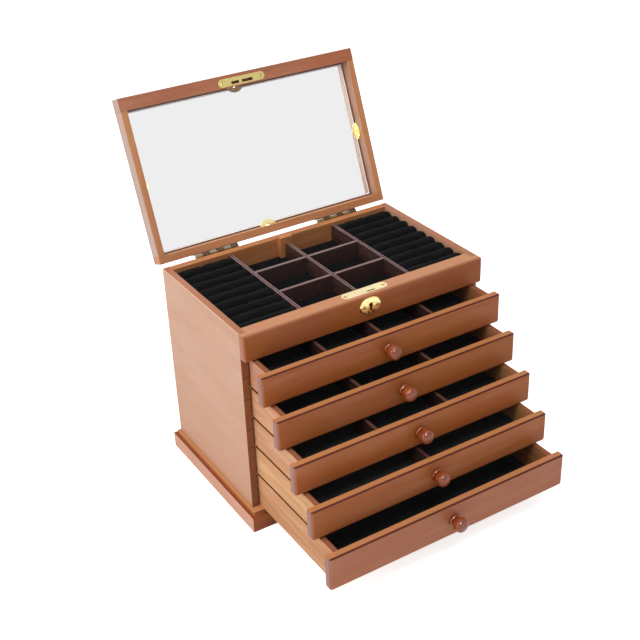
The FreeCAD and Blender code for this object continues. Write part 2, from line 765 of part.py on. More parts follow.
def make_hinges():
    """Two butt hinges: case leaves, lid leaves, pins and screws."""
    case_leaves, lid_leaves, pins, case_screws, lid_screws = [], [], [], [], []
    for side, centre in (("left", "-hinge_spread"), ("right", "hinge_spread")):
        case_leaves.append(hinge_leaf(f"case_leaf_{side}", centre, False))
        lid_leaves.append(hinge_leaf(f"lid_leaf_{side}", centre, True))
        pin = document.addObject("Part::Cylinder", f"pin_{side}")
        bind(pin, "Radius", "hinge_pin_radius")
        bind(pin, "Height", "hinge_length")
        place(pin, f"{centre} - hinge_length / 2", f"{BACK_PLANE} + hinge_pin_back", CASE_TOP,
              "90", (0, 1, 0))
        pins.append(pin)
        for step in (-1, 0, 1):
            x = f"{centre} + {step} * hinge_screw_spacing"
            case_screws.append(screw(
                f"case_screw_{side}_{step + 2}", x,
                f"{BACK_PLANE} + hinge_pin_back + {HINGE_SCREW_HEAD}",
                f"{CASE_TOP} - {HINGE_SCREW_RISE}", "-90", (1, 0, 0)))
            lid_screws.append(screw(
                f"lid_screw_{side}_{step + 2}", x, HINGE_SCREW_HEAD, HINGE_SCREW_RISE,
                "-90", (1, 0, 0), on_lid=True))
    node("hinge_case_leaves", group("hinge_case_leaves", case_leaves))
    node("hinge_lid_leaves", group("hinge_lid_leaves", lid_leaves))
    node("hinge_pins", group("hinge_pins", pins))
    node("hinge_case_screws", group("hinge_case_screws", case_screws))
    node("hinge_lid_screws", group("hinge_lid_screws", lid_screws))


# Lid, drawn closed and measured from the hinge pin -----------------------------------------------

LID_REAR = "(-hinge_pin_back)"
LID_FRONT = "(-hinge_pin_back - lid_depth)"
LID_FRAME_TOP = "(lid_gap + lid_frame_height)"
MIRROR_FACE = f"({LID_FRAME_TOP} - mirror_thickness)"
OPENING_REAR = f"({LID_REAR} - lid_rear_rail_width)"
OPENING_FRONT = f"({LID_FRONT} + lid_front_rail_width)"


def make_lid_frame():
    """Front and rear rails of the lid, and the two stiles between them."""
    front = new_body("lid_front_rail")
    sketch = new_sketch(front, "XY_Plane")
    rectangle(sketch, "-case_width / 2", LID_FRONT, "case_width / 2", OPENING_FRONT)
    pad(front, sketch, "lid_frame_height")
    recess = new_sketch(front, "XY_Plane", "plate_thickness")
    strike_y = "-hinge_pin_back - strike_reach"
    slot_y = "-hinge_pin_back - strike_slot_reach"
    stadium(recess, "0", strike_y, "strike_length", "strike_width")
    pocket(front, recess, "plate_thickness")
    pockets = new_sketch(front, "XY_Plane", "strike_pocket_depth")
    strike_slots(pockets, slot_y)
    pocket(front, pockets, "strike_pocket_depth")
    place(front, "0", "0", "lid_gap", on_lid=True)
    node("lid_front_rail", front)

    rear = new_body("lid_rear_rail")
    sketch = new_sketch(rear, "XY_Plane")
    rectangle(sketch, "-case_width / 2", OPENING_REAR, "case_width / 2", LID_REAR)
    pad(rear, sketch, "lid_frame_height")
    place(rear, "0", "0", "lid_gap", on_lid=True)
    node("lid_rear_rail", rear)

    size = ("side_thickness", f"{OPENING_REAR} - {OPENING_FRONT}", "lid_frame_height")
    stiles = [
        box("lid_stile_left", size, ("-case_width / 2", OPENING_FRONT, "lid_gap"), on_lid=True),
        box("lid_stile_right", size, (f"{INNER_WIDTH} / 2", OPENING_FRONT, "lid_gap"), on_lid=True)]
    node("lid_stiles", group("lid_stiles", stiles))


def strike_slots(sketch, centre_y):
    """Draw the strike's two slots: the bolt's and the shorter one beside it."""
    for kind in ("bolt", "guide"):
        centre = f"strike_{kind}_slot_shift"
        length = f"strike_{kind}_slot_length"
        rectangle(sketch, f"{centre} - {length} / 2", f"{centre_y} - strike_slot_width / 2",
                  f"{centre} + {length} / 2", f"{centre_y} + strike_slot_width / 2")


def make_lid_panel():
    """The board that covers the lid's frame, and the mirror glued under it."""
    body = new_body("lid_top_panel")
    sketch = new_sketch(body, "XY_Plane")
    rectangle(sketch, "-case_width / 2", LID_FRONT, "case_width / 2", LID_REAR)
    pad(body, sketch, "lid_panel_thickness")
    top = value("lid_panel_thickness")
    end = value("case_width / 2")
    dress(body, "Fillet", "lid_panel_round", dict(x=end, z=top), dict(x=-end, z=top),
          dict(y=value(LID_FRONT), z=top), dict(y=value(LID_REAR), z=top))
    place(body, "0", "0", LID_FRAME_TOP, on_lid=True)
    node("lid_top_panel", body)
    node("mirror", box(
        "mirror",
        (f"{INNER_WIDTH} - 2 * mirror_clearance",
         f"{OPENING_REAR} - {OPENING_FRONT} - 2 * mirror_clearance", "mirror_thickness"),
        (f"-{INNER_WIDTH} / 2 + mirror_clearance", f"{OPENING_FRONT} + mirror_clearance",
         MIRROR_FACE), on_lid=True))


def mirror_clip(name, x, y, angle):
    """A brass clip bent square: one half-oval on the frame's wall, the other on the mirror."""
    radius = "((clip_length ^ 2 / 4 + clip_height ^ 2) / (2 * clip_height))"
    half_oval = [("-clip_length / 2", "0"), ("clip_length / 2", "0", radius, 1)]
    body = new_body(name)
    wall = new_sketch(body, "XZ_Plane")
    outline(wall, half_oval)
    pad(body, wall, "clip_sheet")
    screw_hole = new_sketch(body, "XZ_Plane", "clip_sheet")
    circle(screw_hole, "0", "-clip_height / 2", "screw_hole_radius")
    pocket(body, screw_hole, "clip_sheet")
    toe = new_sketch(body, "XY_Plane", "-clip_sheet")
    outline(toe, half_oval)
    pad(body, toe, "clip_sheet")
    place(body, x, y, MIRROR_FACE, angle, on_lid=True)
    return body


def make_lid_fittings():
    """Mirror clips, strike plate and the small brass screws that hold them."""
    wall = f"({INNER_WIDTH} / 2)"
    side_y = "-hinge_pin_back - clip_side_reach"
    drop = f"{MIRROR_FACE} - clip_height / 2"
    spots = (
        ("rear", "clip_cross_shift", OPENING_REAR, "0", (1, 0, 0), "90"),
        ("front", "clip_cross_shift", OPENING_FRONT, "180", (1, 0, 0), "-90"),
        ("left", f"-{wall}", side_y, "90", (0, 1, 0), "90"),
        ("right", wall, side_y, "-90", (0, 1, 0), "-90"))
    clips, screws = [], []
    for side, x, y, clip_angle, axis, screw_angle in spots:
        clips.append(mirror_clip(f"clip_{side}", x, y, clip_angle))
        inward_x = {"left": " + clip_sheet", "right": " - clip_sheet"}.get(side, "")
        inward_y = {"rear": " - clip_sheet", "front": " + clip_sheet"}.get(side, "")
        screws.append(screw(f"clip_screw_{side}", x + inward_x, y + inward_y, drop,
                            screw_angle, axis, on_lid=True, head="clip_sheet"))
    node("mirror_clips", group("mirror_clips", clips))

    plate = new_body("strike_plate")
    sketch = new_sketch(plate, "XY_Plane")
    stadium(sketch, "0", "0", "strike_length", "strike_width")
    pad(plate, sketch, "plate_thickness")
    cuts = new_sketch(plate, "XY_Plane", "plate_thickness")
    strike_slots(cuts, "strike_reach - strike_slot_reach")
    for side in ("-", ""):
        circle(cuts, f"{side}strike_screw_spacing / 2", "0", "screw_hole_radius")
        screws.append(screw(
            f"strike_screw_{'left' if side else 'right'}", f"{side}strike_screw_spacing / 2",
            "-hinge_pin_back - strike_reach", "lid_gap + screw_head_dome", "180", (1, 0, 0),
            on_lid=True))
    pocket(plate, cuts, "plate_thickness")
    place(plate, "0", "-hinge_pin_back - strike_reach", "lid_gap", on_lid=True)
    node("strike_plate", plate)
    node("lid_brass_screws", group("lid_brass_screws", screws))


# Drawers -----------------------------------------------------------------------------------------

def drawer_foot(number):
    """Height of the lower edge of a drawer's front, counted from the top drawer, 0."""
    heights = " + ".join(FRONT_HEIGHTS[:number + 1])
    return f"({CASE_TOP} - rail_height - {number + 1} * front_gap - ({heights}))"


def make_drawer_front(name, height, y, z):
    """An overlay front: round ends, a rounded foot and a crisp upper edge."""
    body = new_body(name)
    sketch = new_sketch(body, "XY_Plane")
    rectangle(sketch, "-case_width / 2", "-front_thickness", "case_width / 2", "0")
    pad(body, sketch, height)
    face = -value("front_thickness")
    end = value("case_width / 2")
    dress(body, "Fillet", "front_end_round", dict(x=end, y=face), dict(x=-end, y=face))
    dress(body, "Fillet", "front_foot_round", dict(y=face, z=0))
    dress(body, "Chamfer", "front_top_round", dict(y=face, z=value(height)))
    place(body, "0", y, z)
    node(name, body)


def make_knob(name, y, z):
    """A turned knob: a beaded collar, a groove and a bun-shaped head on one axis."""
    body = new_body(name)
    sketch = new_sketch(body, "XY_Plane")
    bead = "(knob_collar_thickness / 2)"
    rear = "(knob_collar_thickness + knob_groove)"
    rim = f"({rear} + knob_head_rear_round)"
    front = f"({rim} + knob_head_rim + knob_head_front_round)"
    crown = "(knob_head_radius - knob_head_front_round)"
    dome = f"(({crown} ^ 2 + knob_head_dome ^ 2) / (2 * knob_head_dome))"
    outline(sketch, [
        ("0", "0"), (f"knob_collar_radius - {bead}", "0"),
        (f"knob_collar_radius - {bead}", "-knob_collar_thickness", bead, -1),
        ("knob_neck_radius", "-knob_collar_thickness"), ("knob_neck_radius", f"-{rear}"),
        ("knob_head_radius - knob_head_rear_round", f"-{rear}"),
        ("knob_head_radius", f"-{rim}", "knob_head_rear_round", -1),
        ("knob_head_radius", f"-{rim} - knob_head_rim"),
        (crown, f"-{front}", "knob_head_front_round", -1),
        ("0", f"-{front} - knob_head_dome", dome, -1)])
    turned = body.newObject("PartDesign::Revolution", f"{name}_turned")
    turned.Profile = sketch
    turned.ReferenceAxis = (sketch, ["V_Axis"])
    turned.Angle = 360.0
    document.recompute()
    place(body, "knob_shift", y, z)
    node(name, body)


def make_drawer(number):
    """Drawer number, counted from 0 at the top, pulled out by its own distance."""
    name = f"drawer_{number + 1}"
    y = f"({FRONT_PLANE} - {PULLS[number]})"
    foot = drawer_foot(number)
    front_height, side_height = FRONT_HEIGHTS[number], SIDE_HEIGHTS[number]
    side_foot = f"({foot} + {front_height} - {side_height})"
    floor = f"({side_foot} + {BOTTOM_RISES[number]})"
    lining = f"({floor} + drawer_bottom_thickness)"
    inner = "(drawer_width - 2 * drawer_wall)"
    length = "(drawer_length - drawer_wall)"

    make_drawer_front(f"{name}_front", front_height, y, foot)
    side = ("drawer_wall", "drawer_length", side_height)
    walls = [
        box(f"{name}_side_left", side, ("-drawer_width / 2", y, side_foot)),
        box(f"{name}_side_right", side, (f"{inner} / 2", y, side_foot)),
        box(f"{name}_back", (inner, "drawer_wall", side_height),
            (f"-{inner} / 2", f"{y} + {length}", side_foot))]
    node(f"{name}_walls", group(f"{name}_walls", walls))
    node(f"{name}_bottom", box(
        f"{name}_bottom", (inner, length, "drawer_bottom_thickness"),
        (f"-{inner} / 2", y, floor)))
    node(f"{name}_lining", box(
        f"{name}_lining",
        (f"{inner} - 2 * soft_clearance", f"{length} - 2 * soft_clearance",
         "drawer_lining_thickness"),
        (f"-{inner} / 2 + soft_clearance", f"{y} + soft_clearance", lining)))
    make_knob(f"{name}_knob", f"{y} - front_thickness", f"{foot} + {front_height} / 2 + knob_rise")

    count = DRAWER_DIVIDERS[number]
    height = f"({side_foot} + {side_height} - drawer_divider_drop" \
             f" - {lining} - drawer_lining_thickness)"
    dividers = [
        box(f"{name}_divider_{step}", ("drawer_divider_thickness", length, height),
            (f"-{inner} / 2 + {inner} * {step} / {count + 1} - drawer_divider_thickness / 2",
             y, f"{lining} + drawer_lining_thickness"))
        for step in range(1, count + 1)]
    if dividers:
        node(f"{name}_dividers", group(f"{name}_dividers", dividers))


# Build, check and write --------------------------------------------------------------------------

def check_document():
    """Stop if any object failed to compute or any sub-part has no valid solid."""
    document.recompute()
    for item in document.Objects:
        if {"Invalid", "Error"} & set(item.State):
            raise RuntimeError(f"{item.Name} failed: {item.State}")
    for item in nodes:
        if item.Shape.isNull() or not item.Shape.isValid() or not item.Shape.Solids:
            raise RuntimeError(f"{item.Label} has no valid solid")


def write_parts():
    """Write each sub-part to its own STEP file."""
    os.makedirs("parts", exist_ok=True)
    for item in nodes:
        item.Shape.exportStep(f"parts/{item.Label}.step")
        print(f"{item.Label}: {len(item.Shape.Solids)} solids, {item.Shape.Volume / 1000:.1f} cm3")


make_base()
make_side_panels()
make_back_panel()
make_front_rail()
make_drawer_runners()
make_tray_floor()
make_tray_dividers()
make_ring_rolls()
make_lock()
make_hinges()
make_lid_frame()
make_lid_panel()
make_lid_fittings()
for drawer in range(len(PULLS)):
    make_drawer(drawer)
check_document()
write_parts()
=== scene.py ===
"""Looks of a wooden ring box with a mirror lid, a ring tray and five drawers.

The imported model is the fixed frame. Each of its pieces gets a finish here. The soft pieces, the
velvet linings and the ring rolls, are modelled here and stand for their plain solids.
"""

import json
import logging
import math
import random
from collections.abc import Callable
from dataclasses import dataclass, replace
from enum import Enum

import bmesh
import bpy
from mathutils import Matrix, Vector


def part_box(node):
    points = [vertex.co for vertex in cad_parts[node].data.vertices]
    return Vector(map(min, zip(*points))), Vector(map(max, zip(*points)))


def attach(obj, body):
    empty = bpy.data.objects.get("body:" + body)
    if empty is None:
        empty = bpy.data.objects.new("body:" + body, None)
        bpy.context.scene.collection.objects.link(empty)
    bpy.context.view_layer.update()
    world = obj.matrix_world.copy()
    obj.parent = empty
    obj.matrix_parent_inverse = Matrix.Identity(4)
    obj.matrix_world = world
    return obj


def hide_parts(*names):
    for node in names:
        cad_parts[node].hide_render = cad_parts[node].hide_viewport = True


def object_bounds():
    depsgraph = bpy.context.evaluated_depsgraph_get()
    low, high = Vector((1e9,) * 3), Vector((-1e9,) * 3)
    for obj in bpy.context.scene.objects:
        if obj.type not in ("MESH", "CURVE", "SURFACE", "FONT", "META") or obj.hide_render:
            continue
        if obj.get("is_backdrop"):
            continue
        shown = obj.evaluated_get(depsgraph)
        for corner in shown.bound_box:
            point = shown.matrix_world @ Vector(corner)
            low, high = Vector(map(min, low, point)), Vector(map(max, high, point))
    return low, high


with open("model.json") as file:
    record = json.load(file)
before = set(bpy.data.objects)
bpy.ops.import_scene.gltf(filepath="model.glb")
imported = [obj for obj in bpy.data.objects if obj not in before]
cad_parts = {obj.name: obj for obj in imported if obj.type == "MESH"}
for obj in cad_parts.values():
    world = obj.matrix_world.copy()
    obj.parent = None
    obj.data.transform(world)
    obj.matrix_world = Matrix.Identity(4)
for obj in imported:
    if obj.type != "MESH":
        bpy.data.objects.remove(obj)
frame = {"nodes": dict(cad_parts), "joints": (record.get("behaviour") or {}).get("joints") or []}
cad_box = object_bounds()

LOG = logging.getLogger("ring_box")
MM = 0.001
ORIGIN = Vector((0.0, 0.0, 0.0)).freeze()
Colour = tuple[float, float, float]
Socket = bpy.types.NodeSocket
Node = bpy.types.Node
Tree = bpy.types.NodeTree
Material = bpy.types.Material
Piece = bpy.types.Object
Shape = bmesh.types.BMesh


def rgba(colour: Colour) -> tuple[float, float, float, float]:
    """The colour with full opacity, as colour sockets want it."""
    return (*colour, 1.0)


# Shader graphs ------------------------------------------------------------------------------


@dataclass(frozen=True)
class Graph:
    """Adds linked nodes to one node tree."""

    tree: Tree

    def add(self, kind: str, inputs: dict | None = None, **settings: object) -> Node:
        """Adds one shader node.

        Args:
            kind: the node's class name without its leading "ShaderNode".
            inputs: a value, or a socket to link from, for each input by name or number.
            settings: the node's own properties.

        Returns:
            The new node.
        """
        node = self.tree.nodes.new("ShaderNode" + kind)
        for key, value in settings.items():
            setattr(node, key, value)
        for key, value in (inputs or {}).items():
            self.feed(node.inputs[key], value)
        return node

    def feed(self, target: Socket, value: object) -> None:
        """Links a socket to the target, or sets the target's own value.

        Args:
            target: the input socket.
            value: a socket to link from, or a value.
        """
        if isinstance(value, Socket):
            self.tree.links.new(value, target)
        else:
            target.default_value = value

    def math(self, operation: str, first: object, second: object = 0.0) -> Socket:
        """The result of a Math node on two values or sockets."""
        return self.add("Math", {0: first, 1: second}, operation=operation).outputs[0]

    def product(self, first: object, second: object) -> Socket:
        """Two values or sockets multiplied."""
        return self.math("MULTIPLY", first, second)

    def vector(self, operation: str, first: object, second: object = (0.0, 0.0, 0.0)) -> Socket:
        """The result of a Vector Math node on two vectors."""
        return self.add("VectorMath", {0: first, 1: second}, operation=operation).outputs[0]

    def scaled(self, vector: object, factor: object) -> Socket:
        """A vector times one number."""
        return self.add("VectorMath", {0: vector, "Scale": factor}, operation="SCALE").outputs[0]

    def ramp(self, value: object, low: float, high: float,
             start: object = 0.0, end: object = 1.0) -> Socket:
        """A smooth step of value from start at low to end at high."""
        inputs = {"Value": value, "From Min": low, "From Max": high, "To Min": start, "To Max": end}
        return self.add("MapRange", inputs, interpolation_type="SMOOTHSTEP").outputs[0]

    def noise(self, vector: object, scale: float = 1.0, detail: float = 2.0,
              distortion: float = 0.0) -> Socket:
        """The factor of a noise texture."""
        inputs = {"Vector": vector, "Scale": scale, "Detail": detail, "Distortion": distortion}
        return self.add("TexNoise", inputs).outputs[0]

    def bump(self, height: object, strength: float, distance: float) -> Socket:
        """The normal of a face with a height laid on it."""
        inputs = {"Strength": strength, "Distance": distance, "Height": height}
        return self.add("Bump", inputs).outputs[0]

    def blend(self, factor: object, first: object, second: object, kind: str = "MIX") -> Socket:
        """Two colours blended.

        Args:
            factor: the share of the second colour, from 0 to 1.
            first: the colour below.
            second: the colour laid over it.
            kind: the way the second is laid over the first.

        Returns:
            The blended colour.
        """
        node = self.add("Mix", data_type="RGBA", blend_type=kind)
        factor_input, first_input, second_input, colour_output = 0, 6, 7, 2
        self.feed(node.inputs[factor_input], factor)
        self.feed(node.inputs[first_input], first)
        self.feed(node.inputs[second_input], second)
        return node.outputs[colour_output]

    def parts(self, vector: object) -> list[Socket]:
        """The three components of a vector."""
        return list(self.add("SeparateXYZ", {0: vector}).outputs)

    def joined(self, x: object, y: object, z: object) -> Socket:
        """A vector from three components."""
        return self.add("CombineXYZ", {0: x, 1: y, 2: z}).outputs[0]

    def use(self, effect: Tree, **inputs: object) -> Node:
        """Places a node group.

        Args:
            effect: the node group.
            inputs: its inputs by name, with underscores for spaces.

        Returns:
            The node that holds the group.
        """
        node = self.tree.nodes.new("ShaderNodeGroup")
        node.node_tree = effect
        for key, value in inputs.items():
            self.feed(node.inputs[key.replace("_", " ")], value)
        return node


class Effect:
    """A shader node group with named inputs and outputs, built once and shared."""

    built: dict[str, Tree] = {}

    def __init__(self, name: str) -> None:
        """Starts an empty group.

        Args:
            name: the group's name.
        """
        self.tree = bpy.data.node_groups.new(name, "ShaderNodeTree")
        self.graph = Graph(self.tree)
        self.source = self.tree.nodes.new("NodeGroupInput")
        self.sink = self.tree.nodes.new("NodeGroupOutput")

    def takes(self, name: str, kind: str = "Float") -> Socket:
        """Adds an input and returns the socket that gives its value inside the group."""
        self.tree.interface.new_socket(name, in_out="INPUT", socket_type="NodeSocket" + kind)
        return self.source.outputs[name]

    def gives(self, name: str, value: Socket, kind: str = "Float") -> None:
        """Adds an output that carries the value out of the group."""
        self.tree.interface.new_socket(name, in_out="OUTPUT", socket_type="NodeSocket" + kind)
        self.tree.links.new(value, self.sink.inputs[name])


def shared(build: Callable[[], Tree]) -> Callable[[], Tree]:
    """Makes a group's builder run once and give the same group each time.

    Args:
        build: builds the node group.

    Returns:
        The function that gives the group.
    """
    def once() -> Tree:
        """Gives the group, built if it isn't there yet.

        Returns:
            The node group.
        """
        if build.__name__ not in Effect.built:
            Effect.built[build.__name__] = build()
        return Effect.built[build.__name__]
    return once


@shared
def wood_figure() -> Tree:
    """Growth bands, fine fibres and pores of timber whose grain runs along the vector's X.

    Returns:
        The node group.
    """
    effect = Effect("Wood Figure")
    graph = effect.graph
    vector = effect.takes("Vector", "Vector")
    seed = effect.takes("Seed")
    band_width = effect.takes("Band Width")
    fibre_width = effect.takes("Fibre Width")
    seed_shift, band_squeeze, fibre_squeeze = (0.37, 0.91, 1.73), (0.09, 1.0, 1.0), (0.025, 1.0, 1.0)
    place = graph.vector("ADD", vector, graph.scaled(seed_shift, seed))
    long_bands = graph.vector("MULTIPLY", place, band_squeeze)
    band_place = graph.scaled(long_bands, graph.math("DIVIDE", 1.0, band_width))
    sway = graph.noise(band_place, 0.35, 2.0)
    swayed = graph.vector("ADD", band_place, graph.scaled((0.0, 2.6, 2.6), sway))
    band = graph.noise(swayed, 1.0, 3.0, 0.4)
    long_fibres = graph.vector("MULTIPLY", place, fibre_squeeze)
    fibre_place = graph.scaled(long_fibres, graph.math("DIVIDE", 1.0, fibre_width))
    fibre = graph.noise(fibre_place, 1.0, 3.0)
    pore = graph.noise(graph.vector("MULTIPLY", fibre_place, (2.2, 1.6, 1.6)), 1.0, 1.0)
    effect.gives("Band", graph.ramp(band, 0.36, 0.64))
    effect.gives("Fibre", graph.ramp(fibre, 0.3, 0.7))
    effect.gives("Pore", graph.ramp(pore, 0.62, 0.74))
    return effect.tree


@shared
def stain_blotch() -> Tree:
    """Patches where timber has drunk more stain, longer along the grain.

    Returns:
        The node group.
    """
    effect = Effect("Stain Blotch")
    graph = effect.graph
    vector = effect.takes("Vector", "Vector")
    seed = effect.takes("Seed")
    size = effect.takes("Size")
    seed_shift, squeeze = (2.1, 0.63, 1.27), (0.45, 1.0, 1.0)
    place = graph.vector("ADD", vector, graph.scaled(seed_shift, seed))
    squeezed = graph.vector("MULTIPLY", place, squeeze)
    patch = graph.noise(graph.scaled(squeezed, graph.math("DIVIDE", 1.0, size)), 1.0, 2.0, 0.6)
    effect.gives("Blotch", graph.ramp(patch, 0.36, 0.66))
    return effect.tree


@shared
def arris_wear_and_highlight() -> Tree:
    """A mask of the small chamfers and rounds between a piece's flat faces. On brass it brings out the
    bright worn edges; on wood it carries the arris tone, which is a painted highlight where it is
    lighter than the wood.

    Returns:
        The node group.
    """
    effect = Effect("Arris Wear And Highlight")
    graph = effect.graph
    normal = graph.vector("ABSOLUTE", effect.takes("Normal", "Vector"))
    across, deep, high = graph.parts(normal)
    flattest = graph.math("MAXIMUM", graph.math("MAXIMUM", across, deep), high)
    effect.gives("Arris", graph.ramp(flattest, 0.985, 0.82))
    return effect.tree


@shared
def mitred_grain() -> Tree:
    """Turns the grain through a right angle at the mitres of a rectangular frame.

    Returns:
        The node group.
    """
    effect = Effect("Mitred Grain")
    graph = effect.graph
    vector = effect.takes("Vector", "Vector")
    half_width = effect.takes("Half Width")
    half_depth = effect.takes("Half Depth")
    across, deep, high = graph.parts(vector)
    from_side = graph.math("SUBTRACT", half_width, graph.math("ABSOLUTE", across))
    from_end = graph.math("SUBTRACT", half_depth, graph.math("ABSOLUTE", deep))
    on_side = graph.math("LESS_THAN", from_side, from_end)
    mix = graph.add("Mix", {0: on_side}, data_type="VECTOR")
    plain_input, turned_input, vector_output = 4, 5, 1
    graph.feed(mix.inputs[plain_input], vector)
    graph.feed(mix.inputs[turned_input], graph.joined(deep, across, high))
    effect.gives("Vector", mix.outputs[vector_output], "Vector")
    return effect.tree


@shared
def glued_boards() -> Tree:
    """Horizontal boards glued edge to edge: a tone for each board and the joints between them.

    Returns:
        The node group.
    """
    effect = Effect("Glued Boards")
    graph = effect.graph
    height = effect.takes("Height")
    board = effect.takes("Board")
    place = graph.math("DIVIDE", height, board)
    tone = graph.add("TexVoronoi", {"W": place, "Scale": 1.0}, voronoi_dimensions="1D")
    joint = graph.add("TexVoronoi", {"W": place, "Scale": 1.0}, voronoi_dimensions="1D",
                      feature="DISTANCE_TO_EDGE")
    effect.gives("Tone", graph.parts(tone.outputs["Color"])[0])
    effect.gives("Joint", graph.ramp(joint.outputs["Distance"], 0.045, 0.0))
    return effect.tree


@shared
def velvet_nap() -> Tree:
    """Short pile that lies in patches, with a fine tuft pattern for its height.

    Returns:
        The node group.
    """
    effect = Effect("Velvet Nap")
    graph = effect.graph
    vector = effect.takes("Vector", "Vector")
    tuft = effect.takes("Tuft")
    patch = effect.takes("Patch")
    stroke = graph.noise(graph.scaled(vector, graph.math("DIVIDE", 1.0, patch)), 1.0, 3.0, 1.2)
    pile = graph.noise(graph.scaled(vector, graph.math("DIVIDE", 1.0, tuft)), 1.0, 2.0)
    effect.gives("Stroke", graph.ramp(stroke, 0.38, 0.66))
    effect.gives("Pile", pile)
    return effect.tree


@shared
def metal_wear() -> Tree:
    """Cloudy tarnish and fine brushing on sheet metal.

    Returns:
        The node group.
    """
    effect = Effect("Metal Wear")
    graph = effect.graph
    vector = effect.takes("Vector", "Vector")
    cloud = effect.takes("Cloud")
    tarnish = graph.noise(graph.scaled(vector, graph.math("DIVIDE", 1.0, cloud)), 1.0, 4.0, 0.8)
    lines_per_metre = (180.0, 2600.0, 2600.0)
    brushed = graph.vector("MULTIPLY", vector, lines_per_metre)
    effect.gives("Tarnish", graph.ramp(tarnish, 0.42, 0.68))
    effect.gives("Brushing", graph.noise(brushed, 1.0, 2.0))
    return effect.tree


@shared
def wall_faces() -> Tree:
    """Masks of a piece's upper faces, its outer sides and the sides that look inwards.

    Returns:
        The node group.
    """
    effect = Effect("Wall Faces")
    graph = effect.graph
    across = graph.parts(effect.takes("Vector", "Vector"))[0]
    facing_side, _, facing_up = graph.parts(effect.takes("Normal", "Vector"))
    from_low = graph.math("SUBTRACT", across, graph.parts(effect.takes("Low", "Vector"))[0])
    from_high = graph.math("SUBTRACT", graph.parts(effect.takes("High", "Vector"))[0], across)
    near_side = 1 * MM
    near = graph.math("LESS_THAN", graph.math("MINIMUM", from_low, from_high), near_side)
    sideways = graph.ramp(graph.math("ABSOLUTE", facing_side), 0.6, 0.9)
    outer = graph.product(near, sideways)
    effect.gives("Outer", outer)
    effect.gives("Inner", graph.math("SUBTRACT", sideways, outer))
    effect.gives("Top", graph.ramp(facing_up, 0.6, 0.9))
    return effect.tree


@shared
def front_trim() -> Tree:
    """Masks of a front: the dark line on its upper arris, of a given width, and its round ends.

    Returns:
        The node group.
    """
    effect = Effect("Front Trim")
    graph = effect.graph
    deep = graph.parts(effect.takes("Vector", "Vector"))[1]
    facing_side, _, facing_up = graph.parts(effect.takes("Normal", "Vector"))
    low_deep = graph.parts(effect.takes("Low", "Vector"))[1]
    from_front = graph.math("SUBTRACT", deep, low_deep)
    past_line = graph.math("SUBTRACT", from_front, effect.takes("Width"))
    blur = 0.4 * MM
    near_face = graph.ramp(past_line, blur, -blur)
    least_rise = 0.3
    level = graph.math("GREATER_THAN", facing_up, least_rise)
    effect.gives("Line", graph.product(near_face, level))
    effect.gives("End", graph.ramp(graph.math("ABSOLUTE", facing_side), 0.55, 0.85))
    return effect.tree


@shared
def height_share() -> Tree:
    """How far down a piece a point lies: 0 at its upper edge and 1 at its foot.

    Returns:
        The node group.
    """
    effect = Effect("Height Share")
    graph = effect.graph
    height = graph.parts(effect.takes("Vector", "Vector"))[2]
    foot = graph.parts(effect.takes("Low", "Vector"))[2]
    top = graph.parts(effect.takes("High", "Vector"))[2]
    below = graph.math("SUBTRACT", top, height)
    effect.gives("Share", graph.math("DIVIDE", below, graph.math("SUBTRACT", top, foot)))
    return effect.tree


@shared
def moulded_band() -> Tree:
    """The part of a moulding between two heights, with soft borders.

    Returns:
        The node group.
    """
    effect = Effect("Moulded Band")
    graph = effect.graph
    height = graph.parts(effect.takes("Vector", "Vector"))[2]
    blur = 0.3 * MM
    above = graph.math("DIVIDE", graph.math("SUBTRACT", height, effect.takes("Foot")), blur)
    below = graph.math("DIVIDE", graph.math("SUBTRACT", effect.takes("Top"), height), blur)
    effect.gives("Band", graph.ramp(graph.math("MINIMUM", above, below), 0.0, 1.0))
    return effect.tree


@shared
def rim_distance() -> Tree:
    """How far a point of a flat plate lies from the nearest of its four sides.

    Returns:
        The node group.
    """
    effect = Effect("Rim Distance")
    graph = effect.graph
    place = effect.takes("Vector", "Vector")
    from_low = graph.parts(graph.vector("SUBTRACT", place, effect.takes("Low", "Vector")))
    from_high = graph.parts(graph.vector("SUBTRACT", effect.takes("High", "Vector"), place))
    across = graph.math("MINIMUM", from_low[0], from_high[0])
    deep = graph.math("MINIMUM", from_low[1], from_high[1])
    effect.gives("Distance", graph.math("MINIMUM", across, deep))
    return effect.tree


# Finishes -----------------------------------------------------------------------------------


class Grain(Enum):
    """The way the grain runs in a piece."""

    ACROSS = "across"
    DEEP = "deep"
    UPRIGHT = "upright"
    MITRED = "mitred"


class Pose(Enum):
    """How a piece stands at rest: square to the case, or leaning with the open lid."""

    SQUARE = "square"
    LEANING = "leaning"


def lid_angle() -> float:
    """The angle, in radians, that the lid has turned from closed to its place at rest."""
    hinge = next(joint for joint in frame["joints"] if joint["name"] == "lid_hinge")
    return -math.radians(hinge["range_deg"][0])


def new_material(name: str) -> tuple[Graph, Node]:
    """A material with a Principled shader.

    Args:
        name: the material's name.

    Returns:
        The material's graph and its Principled node.
    """
    material = bpy.data.materials.new(name)
    material.use_nodes = True
    return Graph(material.node_tree), material.node_tree.nodes["Principled BSDF"]


@dataclass(frozen=True)
class Surface:
    """A new material, with the place and the normal of a point on the piece that it covers."""

    graph: Graph
    shader: Node
    place: Socket
    normal: Socket
    low: Vector
    high: Vector

    def gloss(self, level: float) -> None:
        """Sets how much light the bare surface mirrors."""
        self.shader.inputs["Specular IOR Level"].default_value = level

    def finish(self, colour: Socket, roughness: Socket, normal: Socket | None = None) -> None:
        """Joins the colour, the roughness and the normal to the shader.

        Args:
            colour: the base colour.
            roughness: the roughness.
            normal: the normal with its relief, where there is one.
        """
        self.graph.feed(self.shader.inputs["Base Color"], colour)
        self.graph.feed(self.shader.inputs["Roughness"], roughness)
        if normal is not None:
            self.graph.feed(self.shader.inputs["Normal"], normal)


